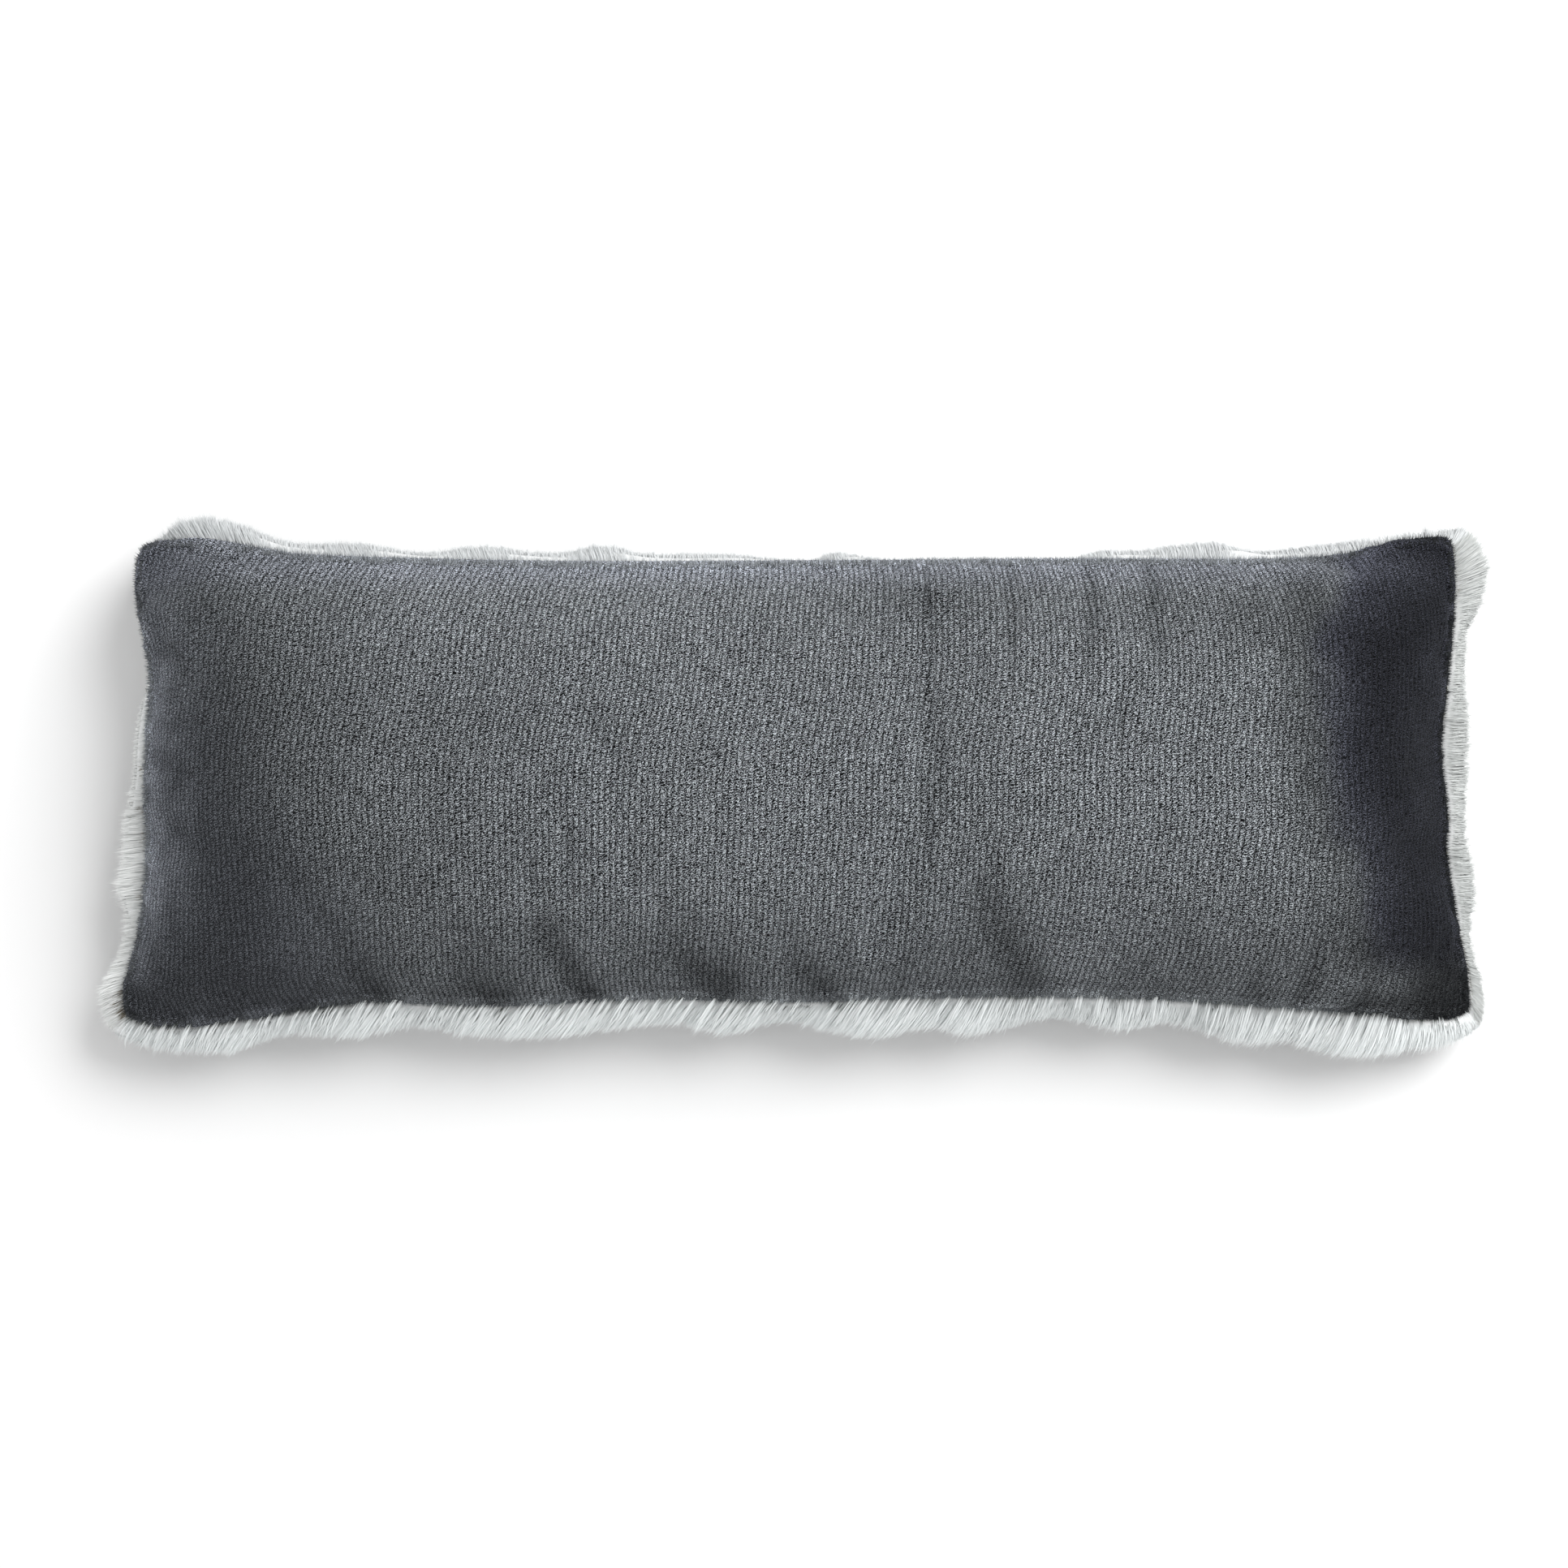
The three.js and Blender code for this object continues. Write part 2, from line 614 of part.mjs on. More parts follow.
// Where a lock with this root ends, and its middle, from the way the hair lies there
function lockShape(row, rowNumber, n, count, place, centre) {
  const at = place.face % 180 === 0 ? centre.y : centre.x;
  const reach = Math.max(0, readTable(place.hair, "at", "reach", at));
  const edge = planPoint(place.s, place.t, plushEdge);
  const out = new THREE.Vector2(1, 0).rotateAround(new THREE.Vector2(), degToRad(place.face));
  const turn = readTable(HAIR_LAY, "at", "turn", n / count);
  const lay = out.clone().rotateAround(new THREE.Vector2(), degToRad(turn));
  const room = out.x * (edge.x - centre.x) + out.y * (edge.y - centre.y) + reach;
  const chance = spread(n + LOCK_SHIFT * rowNumber);
  const wanted = lerp(row.shortest, row.longest, chance);
  const length = Math.max(LOCK_END, Math.min(wanted, room / Math.max(lay.dot(out), LEAST_OUTWARD)));
  const fall = (row.droop + row.droopMore * chance) * length;
  const tip = new THREE.Vector3(centre.x + lay.x * length, centre.y + lay.y * length, centre.z - fall);
  tip.z = Math.max(TIP_CLEARANCE, tip.z);
  const middle = centre.clone().lerp(tip, 0.5);
  const rise = rowNumber === 0 ? bySide(CREST_RISE, place.s, place.t) / CREST_RISE.bottom : 1;
  middle.z += row.bend * length * rise;
  return { middle, tip };
}

// Fur: its inner face follows the belly, and rows of locks grow between the rings of its rim
function makeFur() {
  const shell = new Shell();
  const rowPlace = evenTurn(PLUSH_ROWS);
  const underPlace = evenTurn(UNDER_COLUMNS);
  const lining = shell.addGrid(UNDER_COLUMNS, PLUSH_ROWS, (i, j) => liningPoint(underPlace(i), rowPlace(j)));
  const columnPlace = evenTurn(FUR_COLUMNS);
  const furRow = evenTurn(FUR_ROWS);
  const face = shell.addGrid(FUR_COLUMNS, FUR_ROWS, (i, j) =>
    shagPoint(columnPlace(i) * SLAB_EDGE.s, furRow(j) * SLAB_EDGE.t));
  const places = rimPlaces(LOCKS.longSide, LOCKS.shortSide);
  const rings = [
    shell.addPoints(places.map(crestPoint)),
    shell.addPoints(places.map(({ s, t }) => furPoint(s, t))),
    shell.addPoints(places.map(({ s, t }) => furPoint(s * SIDE_RING.s, t * SIDE_RING.t))),
  ];
  shell.triangles.push(...lining.faces(false), ...face.faces(true));
  const ringSides = (ring) => splitSides(ring, LOCKS.longSide, LOCKS.shortSide);
  shell.joinSides(lining.sides(), ringSides(rings[0]));
  LOCK_ROWS.forEach((row, rowNumber) => {
    places.forEach((place, n) => {
      const next = (n + 1) % places.length;
      const root = [rings[rowNumber][n], rings[rowNumber + 1][n]];
      root.push(rings[rowNumber + 1][next], rings[rowNumber][next]);
      const centre = new THREE.Vector3();
      for (const corner of root) centre.addScaledVector(shell.points[corner], 1 / root.length);
      const { middle, tip } = lockShape(row, rowNumber, n, places.length, place, centre);
      shell.addLock(root, middle, tip);
    });
  });
  shell.joinSides(ringSides(rings[rings.length - 1]), face.sides());
  return shell.geometry();
}

function addPiece(group, name, geometry, colour, roughness) {
  const material = new THREE.MeshStandardMaterial({ color: colour, roughness, metalness: 0 });
  const mesh = new THREE.Mesh(geometry, material);
  mesh.name = name;
  group.add(mesh);
}

const pillow = new THREE.Group();
addPiece(pillow, "ribbed_plush_cushion", makeCushion(), COLOURS.plush, ROUGHNESS.plush);
addPiece(pillow, "faux_fur_back", makeFur(), COLOURS.fur, ROUGHNESS.fur);

// The origin is the middle of the pillow's footprint, on the surface under it
const bounds = new THREE.Box3().setFromObject(pillow);
const centre = bounds.getCenter(new THREE.Vector3());
pillow.position.set(-centre.x, -centre.y, -bounds.min.z);

export default pillow;
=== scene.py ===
# Looks of an oblong lumbar pillow that lies on its fur side: a ribbed plush front, filled and crowned,
# and a long-haired faux fur back whose hair stands out past the seam. Metres, in the part's own frame.

import math

import bpy
import numpy as np
from bpy.props import FloatProperty, FloatVectorProperty, IntProperty, PointerProperty
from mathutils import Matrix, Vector
from mathutils.kdtree import KDTree


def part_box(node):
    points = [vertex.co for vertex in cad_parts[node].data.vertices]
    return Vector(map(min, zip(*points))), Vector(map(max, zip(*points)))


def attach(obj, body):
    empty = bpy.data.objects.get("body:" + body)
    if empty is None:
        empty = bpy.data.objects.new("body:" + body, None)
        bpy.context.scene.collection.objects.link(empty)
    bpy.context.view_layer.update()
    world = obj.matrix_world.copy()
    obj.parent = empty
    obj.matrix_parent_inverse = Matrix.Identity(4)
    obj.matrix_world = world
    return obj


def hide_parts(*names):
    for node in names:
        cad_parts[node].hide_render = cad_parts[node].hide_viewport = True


bl_info = {
    "name": "Oblong Fur-Backed Pillow",
    "version": (1, 0, 0),
    "blender": (4, 5, 0),
    "location": "3D View > Sidebar > Pillow",
    "description": "Builds a ribbed plush lumbar pillow with a long-haired faux fur back",
    "category": "Add Mesh",
}

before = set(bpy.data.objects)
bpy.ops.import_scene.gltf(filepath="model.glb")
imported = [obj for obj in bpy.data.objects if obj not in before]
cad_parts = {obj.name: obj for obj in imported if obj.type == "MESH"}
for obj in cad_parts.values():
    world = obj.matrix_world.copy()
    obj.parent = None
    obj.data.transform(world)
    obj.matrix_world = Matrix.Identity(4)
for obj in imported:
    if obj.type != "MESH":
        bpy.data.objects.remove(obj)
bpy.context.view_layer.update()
PLUSH_NODE = "ribbed_plush_cushion"
FUR_NODE = "faux_fur_back"
BODY = "root"

MM = 0.001
TINY = 1e-9
FULL_TURN = 2 * math.pi
UP = np.array([0.0, 0.0, 1.0])


def table(names, *rows, scale=MM):
    """One array for each named column, from rows of millimetres unless scale says otherwise."""
    return {name: np.array(column) * scale for name, column in zip(names.split(), zip(*rows))}


# Heights of the filled cushion
CORNER_DROP = 13 * MM  # how much lower the seam hangs at a corner
DROP_POWER = {"along": 8, "across": 4}  # how near the corner that starts
BELLY_DEPTH = 56 * MM  # filling below the seam, before the surface flattens it
BELLY_FLOOR = 12 * MM
BELLY_SOFTNESS = 3 * MM

# Plan of the plush face, each side drawn in between its corners
TOP_SIDE = table(
    "x y", (-421, 159), (-385, 157.8), (-351, 154.6), (-315, 148.8), (-246, 145.3), (-120, 142.8),
    (176, 144.8), (308, 145.2), (361, 148.6), (398, 157), (436, 162.5),
)
BOTTOM_SIDE = table(
    "x y", (-432, -153), (-404, -157), (-351, -152), (-272, -141), (-193, -143), (-87, -138.5),
    (0, -140.4), (123, -137.2), (229, -138.4), (334, -145.6), (429, -152.2), (446, -149),
)
LEFT_SIDE = table(
    "y x", (-153, -430.5), (-131, -428.3), (-118, -424), (-97, -418.2), (-71, -414), (-40, -412),
    (-13, -413.5), (29, -412.3), (66, -410.3), (93, -414), (120, -419.5), (157, -422),
)
RIGHT_SIDE = table(
    "y x", (-149, 447), (-118, 443), (-97, 438), (-44, 429.5), (-20, 430), (24, 426), (61, 429.3),
    (114, 434.3), (163, 436),
)
CORNERS = table("s t pull reach", (-1, 1, 8, 12), (-1, -1, 4, 8), (1, 1, 5, 8), (1, -1, 2, 5))

# The seam lies under the roll of the plush at the top and left, and at its edge elsewhere
SEAM_TUCK = {"left": 8 * MM, "right": 1 * MM, "bottom": 1 * MM, "top": 8 * MM}
ROLL_RISE = {"left": 9 * MM, "right": 2.5 * MM, "bottom": 2.5 * MM, "top": 9 * MM}
SIDE_BLEND = {"end_power": 40, "side_power": 8}

# How far in from an end each form levels out, and how full it is
PLUSH_FORM = {"length": 125 * MM, "end": 2.2, "end_full": 0.72, "width": 2.2, "width_full": 0.55}
BELLY_FORM = {"length": 95 * MM, "end": 2.4, "end_full": 0.7, "width": 3, "width_full": 0.6}
FUR_FORM = {"length": 58 * MM, "end": 2.6, "end_full": 0.6, "width": 5, "width_full": 0.6}
END_SAG = 0.05

# Ribs: how far a rib's ends lie along the pillow from its middle, once each way and both the same way
RIB_LEAN = {"tilt": 11 * MM, "tilt_change": 3 * MM, "bow": 3 * MM, "bow_change": -10 * MM}
COLUMNS_A_RIB = 4
PLUSH_ROWS = 82
ROLL_RINGS = 4
BELLY_RINGS = (0.985, 0.9, 0.6, 0.3)
RING_MAP_STEP = 0.02  # how much further each ring under the edge lies on the map of the ribs
RIM_STEPS = 400
EDGE_REACH = 3  # points each way along the edge between which its direction is taken

# Soft troughs that the seam and the filling pull into the plush, from the deep end to the shallow one
FOLD_START = 4  # a trough has its full depth once the crown is a quarter of its own height
FOLDS = table(
    "x0 y0 x1 y1 width depth",
    (-262, -136, -286, -104, 9, 3), (-186, -137, -217, -118, 10, 3.2), (-127, -135, -164, -80, 9, 4.4),
    (-38, -131, -98, -92, 13, 4.6), (27, -133, -8, -105, 9, 3.2), (156, -126, 110, -60, 13, 4),
    (306, -140, 296, -118, 7, 2), (333, -140, 338, -96, 7, 2), (372, -142, 378, -98, 10, 3),
    (62, 134, 60, 84, 4, 1.2), (91, 137, 89, -40, 3.2, 1.6), (145, 134, 143, 52, 4.5, 2),
    (195, 134, 193, 50, 5, 2.4), (211, 50, 209, 14, 4, 1.4), (235, 136, 233, 60, 4.5, 2.2),
    (-382, 6, -404, -22, 6, 2), (-388, -28, -404, -56, 6, 2),
)
# Painted shade in the troughs
FOLD_SHADE = 0.17 / MM  # how much darker the pile looks in a trough, by its depth

# How far the hair reaches past the plush edge
FUR_TOP = table(
    "at reach", (-436, 0), (-404, 7), (-377, 21), (-351, 16), (-325, 9), (-270, 11.3), (-235, 6.5),
    (-193, 12), (-160, 9), (-140, 9), (-115, 14), (-90, 8.5), (-40, 8), (-24, 6.5), (0, 2), (17, 2),
    (36, 8.5), (60, 1.5), (83, 3), (170, 1.5), (190, 2.5), (205, 8), (228, 8), (260, 12.5), (283, 14),
    (302, 8), (355, 10), (373, 9), (386, 5), (399, 1.5), (425, 0), (440, 10),
)
FUR_BOTTOM = table(
    "at reach", (-450, 19), (-404, 18), (-351, 24), (-319, 17), (-272, 25), (-230, 17), (-186, 23),
    (-127, 24), (-61, 18), (-29, 24), (7, 15), (65, 27), (102, 22), (129, 27), (178, 16), (225, 23),
    (255, 17), (305, 27), (334, 23), (379, 30), (431, 19), (460, 16),
)
FUR_LEFT = table(
    "at reach", (-172, 12), (-152, 19), (-137, 21), (-126, 21), (-113, 16), (-97, 14), (-82, 17),
    (-66, 24), (-44, 22), (-18, 18), (8, 13), (27, 13), (53, 10), (74, 3), (90, 0), (165, 0),
)
FUR_RIGHT = table(
    "at reach", (-172, 17), (-144, 14.5), (-123, 11), (-107, 9), (-91, 12.5), (-60, 21.5), (-28, 16),
    (-7, 18.5), (13, 22), (34, 22), (66, 16), (87, 14), (98, 14), (119, 24), (140, 31), (152, 28),
    (170, 22),
)

# Skin that the hair grows from
SKIN_SHARE = {"left": 0.62, "right": 0.6, "bottom": 0.6, "top": 0.5}  # of the hair's reach
SKIN_TUCK = 1.5 * MM  # how far back it stays where no hair shows
RIM_DROP = 5 * MM
CREST_RISE = {"left": -1.2 * MM, "right": 0.5 * MM, "bottom": 2 * MM, "top": -1.2 * MM}
FUR_SINK = 4.5 * MM
SKIN_FLOOR = 4 * MM  # lowest point of the skin, with room for the pressed hair under it
SKIN_GAP = 1 * MM  # between the filling and the skin's inner side
LUMPS = table("x y turn height", (61, 97, 400, 3.8), (83, 118, 600, 3.1), (137, 71, 500, 2.4))
LUMP_FADE = 12
SKIN_COLUMNS = 220
SKIN_ROWS = 70
CREST_STEPS = 8
# Undercoat: how far from the seam its painted root shade reaches, and its painted light on each side,
# darker where the key light falls and lighter in the pillow's shadow
COAT = {
    "dark": {"left": 4 * MM, "right": 1 * MM, "bottom": 2 * MM, "top": 1 * MM},
    "light": {"left": 0.92, "right": 0.52, "bottom": 0.88, "top": 0.66},
}
# Painted shade on the undercoat under the plush's overhang
COAT_SHADE = {"least": 0.6, "reach": 7 * MM}  # where the plush reaches over it as far as the hair does
COAT_STREAK = {
    "width": 0.8 * MM, "length": 9 * MM, "light": 0.5, "level": 0.75, "strength": 0.4, "height": 1 * MM,
}
COAT_ROOT_SHARE = 0.35  # of the painted root shade's reach that takes its full dark colour
# Notches between the tufts of hair, in which painted shade darkens the roots:
# how much further than elsewhere
NOTCH = {
    "size": 9 * MM, "gain": 2.2, "start": 0.3, "tone": 0.35, "coat_dark": (0.2, 1.5), "hair_dark": (0.3, 1.4),
}
PALE_START = {"share": 0.4, "from": 0.3, "to": 1.3}  # of its length, for a hair past the dark part

# Which way the hair lies, in degrees from straight out and anticlockwise, for shares of the way round
# the pillow anticlockwise from the bottom left corner
HAIR_LAY = table(
    "at turn", (0, -22), (0.03, -34), (0.22, -36), (0.26, -14), (0.3, -14), (0.34, -28), (0.37, -12),
    (0.4, 0), (0.5, 4), (0.7, 14), (0.8, 28), (0.87, 18), (0.92, 6), (1, 10), scale=1,
)
LONG_SIDE = 0.373  # share of the way round that one long side takes
SHORT_SIDE = 0.5 - LONG_SIDE
LAY_BLEND = 25 * MM  # how near the next side the hair starts to follow it
FLAT_LAY = np.array([-1.0, 0.0, 0.0])  # lay of the hair under the pillow

# Rows of hair: how far they bend up and how little they may hang, as shares of their length
CREST_HAIR = {"rise": 0.13, "least_drop": 0.1, "more_drop": 0.24}
SIDE_HAIR = {"rise": 0.02, "least_drop": 0.5, "more_drop": 0.4}
CREST_SHARE_OF_HAIR = 0.6
SIDE_DEPTH = 34 * MM  # how far in under the rim the side hair grows
SEGMENTS = {"side": 4, "under": 3}
TAPER = {"root": 0.4, "full": 0.25, "power": 1.6, "end": 0.14}
ROUND_SHADE = 0.15  # how far a strand's edges are turned away in its shading
SOFT_SHADE = 0.75  # how far a strand is shaded like the whole coat
CLUMP_STRANDS = 12
CLUMP_PULL = {"least": 0.05, "most": 0.28, "power": 1.7}
# How strands differ: in length, width and reach, as shares, and in where they bend and end
STRAND = {
    "length": (0.85, 1.12), "width": (0.7, 1.2), "reach": (0.9, 1.08), "reach_noise": 0.05,
    "bend_at": 0.55, "bend_drop": 0.2, "bend_out": 0.06, "bend_noise": 0.9 * MM, "tip_noise": 1.2 * MM,
    "facing_up": 0.5, "facing_noise": 0.25, "tone": 0.45, "clump_tone": 0.1, "tone_noise": 0.12,
}
FLYAWAY = {"share": 0.08, "more_reach": 0.08, "width": 0.6}  # strands that lie by themselves
LEAST_ROOM = 3 * MM
LEAST_OUT = 0.5  # least part of the lay that is taken to lead straight out
MOST_FLAT = 0.97  # share of a strand's length that may lie flat
HANG_SHARE = 0.9  # of what is left of its length, that it hangs down
# Tufts in which the hair leaves the seam: their distance, how unevenly they stand and are gathered
TUFT = {"space": 4.5 * MM, "uneven": 0.35, "gather": (0.4, 1.1), "root_power": 0.8}
# Tufts that start a little way up the plush: their share and how far in, and the light of their strands
OVERLAP = {
    "share": {"left": 0.0, "right": 0.05, "bottom": 0.75, "top": 0.0}, "in": 2.6 * MM, "clear": 0.7 * MM,
    "deep": 0.14, "tone": 0.5, "rise": 0.02, "noise_share": 0.4,
}
# Hair under the pillow: how far in it starts as a share of the side hair's depth, its size as shares of
# the long hair's, how high it lies and how it strays
UNDER_HAIR = {
    "from": 0.8, "length": 0.85, "lengths": (0.8, 1.15), "width": 1.7,
    "lowest": 0.4 * MM, "highest": 3.2 * MM, "low_power": 1.5, "clump_stray": 0.22, "stray": 0.1,
    "bend_at": 0.5, "bend_out": 2 * MM, "bend_rise": 1 * MM, "pull": 0.5,
    "tone": 0.5, "clump_tone": 0.16, "tone_noise": 0.15,
}
FLOOR_CLEARANCE = (0.5 * MM, 5 * MM)

# Finish of the hair on each side: how far out its painted root shade reaches, how warm that is, how
# tightly its tufts are gathered at the seam, and its painted light, darker where the key light falls and
# lighter in the pillow's shadow
HAIR_SIDES = {
    "bottom": {"dark": 0.07, "ragged": 0.5, "warmth": 0.0, "gather": 0.36, "painted_light_tint": (0.94, 0.96, 0.96)},
    "right": {"dark": 0.04, "ragged": 0.1, "warmth": 0.5, "gather": 0.15, "painted_light_tint": (0.59, 0.6, 0.59)},
    "top": {"dark": 0.05, "ragged": 0.15, "warmth": 0.0, "gather": 0.35, "painted_light_tint": (0.7, 0.71, 0.715)},
    "left": {"dark": 0.08, "ragged": 0.5, "warmth": 1.0, "gather": 0.2, "painted_light_tint": (1.02, 1.02, 1.01)},
    "under": {"dark": 0.1, "ragged": 0.3, "warmth": 0.0, "painted_light_tint": (0.9, 0.91, 0.91)},
}
# Warm colour of the painted root shade on the left side
WARM_ROOT_SHADE = (0.2, 0.17, 0.12)
# Colours along a hair: its middle is a little darker than its tip, and its tone adds this much light
HAIR_SHADE = {"middle": 0.93, "root_mix": 0.55, "soft": 0.1, "tip_from": 0.8, "tone": 0.16, "level": 0.9}

# Shader sockets of each finish
PLUSH_FINISH = {
    "Roughness": 0.85, "Specular IOR Level": 0.05, "Sheen Weight": 0.05, "Sheen Roughness": 0.5,
    "Sheen Tint": (0.75, 0.8, 0.9, 1),
}
PILE_FINISH = {"Roughness": 0.9, "Specular IOR Level": 0.05}
HAIR_FINISH = {"Roughness": 0.6, "Specular IOR Level": 0.25, "Sheen Weight": 0.15}
COAT_FINISH = {"Roughness": 0.95}
FLOOR_FINISH = {"Roughness": 0.9}

SEEDS = {"mottle": 21, "broad": 31, "ragged": 11, "margin": 51, "notches": 41, "pile": 5, "hair": 7}


def clamp01(value):
    return np.clip(value, 0.0, 1.0)


def lerp(start, end, share):
    return start + (end - start) * share


def eased(share):
    """A share from 0 to 1 that leaves 0 and reaches 1 gently."""
    return share * share * (3 - 2 * share)


def smoothstep(low, high, value):
    return eased(clamp01((value - low) / (high - low)))


def stack(x, y, z):
    return np.stack(np.broadcast_arrays(x, y, z), -1)


def unit(vectors):
    return vectors / np.maximum(np.linalg.norm(vectors, axis=-1, keepdims=True), TINY)


def dot(a, b):
    return (a * b).sum(-1)


def each_row(rows):
    """A table's rows, with their columns in the order in which the table names them."""
    return zip(*rows.values())


def read_table(rows, at):
    """Smooth curve through a table of two columns: the second where the first equals at."""
    known, value = rows.values()
    last = len(known) - 1
    before = np.maximum(np.arange(last + 1) - 1, 0)
    after = np.minimum(np.arange(last + 1) + 1, last)
    slope = (value[after] - value[before]) / (known[after] - known[before])
    i = np.clip(np.searchsorted(known, at, side="left") - 1, 0, last - 1)
    span = known[i + 1] - known[i]
    f = clamp01((at - known[i]) / span)
    lead = f * (1 - f) * (1 - f) * slope[i] * span
    trail = f * f * (1 - f) * slope[i + 1] * span
    return lerp(value[i], value[i + 1], eased(f)) + lead - trail


def flat_edge(shift):
    """For each side, how far past the plush edge a place lies: the same all along it."""
    return {side: (lambda at, out=out: out) for side, out in shift.items()}


def skin_reach(rows, share):
    """How far past the plush edge the skin reaches, for a place along the side."""
    def reach_at(at):
        reach = np.maximum(0, read_table(rows, at))
        return share * reach - SKIN_TUCK * np.exp(-reach / SKIN_TUCK)
    return reach_at


PLUSH_EDGE = flat_edge({side: 0.0 for side in SEAM_TUCK})
SEAM_EDGE = flat_edge({side: -tuck for side, tuck in SEAM_TUCK.items()})
FUR_REACH = {"left": FUR_LEFT, "right": FUR_RIGHT, "bottom": FUR_BOTTOM, "top": FUR_TOP}
SKIN_EDGE = {side: skin_reach(rows, SKIN_SHARE[side]) for side, rows in FUR_REACH.items()}


def plan_point(s, t, edge):
    """Place on the plan for s along and t across, from -1 to 1, and the x of the two ends at that t."""
    right, up = (1 + s) / 2, (1 + t) / 2
    left_y = lerp(LEFT_SIDE["y"][0], LEFT_SIDE["y"][-1], up)
    right_y = lerp(RIGHT_SIDE["y"][0], RIGHT_SIDE["y"][-1], up)
    top_x = lerp(TOP_SIDE["x"][0], TOP_SIDE["x"][-1], right)
    bottom_x = lerp(BOTTOM_SIDE["x"][0], BOTTOM_SIDE["x"][-1], right)
    left_x = read_table(LEFT_SIDE, left_y) - edge["left"](left_y)
    right_x = read_table(RIGHT_SIDE, right_y) + edge["right"](right_y)
    top_y = read_table(TOP_SIDE, top_x) + edge["top"](top_x)
    bottom_y = read_table(BOTTOM_SIDE, bottom_x) - edge["bottom"](bottom_x)
    x, y = lerp(left_x, right_x, right), lerp(bottom_y, top_y, up)
    for side_s, side_t, pull, reach in each_row(CORNERS):
        corner_s, corner_t = np.sign(side_s), np.sign(side_t)
        corner_x = left_x if corner_s < 0 else right_x
        corner_y = bottom_y if corner_t < 0 else top_y
        near = np.hypot(x - corner_x, y - corner_y) / reach
        off = pull * np.exp(-near) * (1 + corner_s * s) * (1 + corner_t * t) / 4
        x = x - corner_s * off * math.sqrt(0.5)
        y = y - corner_t * off * math.sqrt(0.5)
    return x, y, left_x, right_x


def fullness(place, t, form):
    """Share of the full height: 0 at every side, 1 over the middle."""
    x, _, left_x, right_x = place
    from_end = np.maximum(0, np.minimum(x - left_x, right_x - x))
    inward = 1 - np.minimum(from_end / form["length"], 1)
    end = (1 - inward ** form["end"]) ** form["end_full"]
    width = (1 - np.minimum(np.abs(t), 1) ** form["width"]) ** form["width_full"]
    return end * width


def by_side(setting, s, t):
    """A setting with one number for each side, blended round the corners."""
    end_weight = np.abs(s) ** SIDE_BLEND["end_power"]
    side_weight = np.abs(t) ** SIDE_BLEND["side_power"]
    end = np.where(s < 0, setting["left"], setting["right"])
    side = np.where(t < 0, setting["bottom"], setting["top"])
    return (end * end_weight + side * side_weight) / np.maximum(end_weight + side_weight, TINY)


def fold_depth(x, y):
    depth = 0
    for x0, y0, x1, y1, width, deep in each_row(FOLDS):
        run_x, run_y = x1 - x0, y1 - y0
        f = clamp01(((x - x0) * run_x + (y - y0) * run_y) / (run_x ** 2 + run_y ** 2))
        off = np.hypot(x - x0 - f * run_x, y - y0 - f * run_y) / width
        depth = depth + deep * np.exp(-off * off) * (1 - f * f)
    return depth


def seam_height(s, t):
    top = bpy.context.scene.pillow_plush.seam_height
    return top - CORNER_DROP * np.abs(s) ** DROP_POWER["along"] * np.abs(t) ** DROP_POWER["across"]


def plush_point(s, t):
    """Plush face without its ribs."""
    place = plan_point(s, t, PLUSH_EDGE)
    full = fullness(place, t, PLUSH_FORM)
    roll = by_side(ROLL_RISE, s, t) * (1 - full)
    crown = bpy.context.scene.pillow_plush.crown_height * full * (1 - END_SAG * s * s)
    fold = fold_depth(place[0], place[1]) * np.minimum(1, FOLD_START * full)
    return stack(place[0], place[1], seam_height(s, t) + roll + crown - fold)


def belly_point(s, t):
    """Underside of the filled cushion, from the seam down to its flat."""
    place = plan_point(s, t, SEAM_EDGE)
    hanging = seam_height(s, t) - BELLY_DEPTH * fullness(place, t, BELLY_FORM)
    above = (hanging - BELLY_FLOOR) / BELLY_SOFTNESS
    return stack(place[0], place[1], BELLY_FLOOR + BELLY_SOFTNESS * np.logaddexp(0, above))


def fur_point(s, t):
    """Outer side of the fur's skin, before its lumps."""
    place = plan_point(s, t, SKIN_EDGE)
    rim = seam_height(s, t) - RIM_DROP
    return stack(place[0], place[1], rim - (rim + FUR_SINK) * fullness(place, t, FUR_FORM))


def slope_normal(face, s, t):
    """Unit normal of a face, on the side from which s and t run anticlockwise."""
    step = 0.002
    back, ahead = np.maximum(s - step, -1), np.minimum(s + step, 1)
    below, above = np.maximum(t - step, -1), np.minimum(t + step, 1)
    return unit(np.cross(face(ahead, t) - face(back, t), face(s, above) - face(s, below)))


def skin_point(s, t):
    """Skin with its lumps, pressed flat where it would reach below the hair under it."""
    point = fur_point(s, t)
    inside = 1 - np.maximum(np.abs(s), np.abs(t)) ** LUMP_FADE
    lumps = 0
    for long_x, long_y, turn, height in each_row(LUMPS):
        wave_x = np.sin(point[..., 0] / long_x * FULL_TURN + turn)
        wave_y = np.cos(point[..., 1] / long_y * FULL_TURN - turn)
        lumps = lumps + height * wave_x * wave_y
    point = point - slope_normal(fur_point, s, t) * (inside * lumps)[..., None]
    point[..., 2] = np.maximum(SKIN_FLOOR, point[..., 2])
    return point


def crest_point(s, t, share):
    """Band of skin from the seam, share 0, over its crest to the rim, share 1."""
    seam, rim = belly_point(s, t), fur_point(s, t)
    band = lerp(seam, rim, share[..., None])
    crest = seam_height(s, t) + by_side(CREST_RISE, s, t)
    middle = (seam[..., 2] + rim[..., 2]) / 2
    band[..., 2] += 4 * share * (1 - share) * (crest - middle)
    return band


def even_turn(count):
    """Places from -1 to 1, closer together towards both ends."""
    return -np.cos(np.arange(count + 1) / count * math.pi)


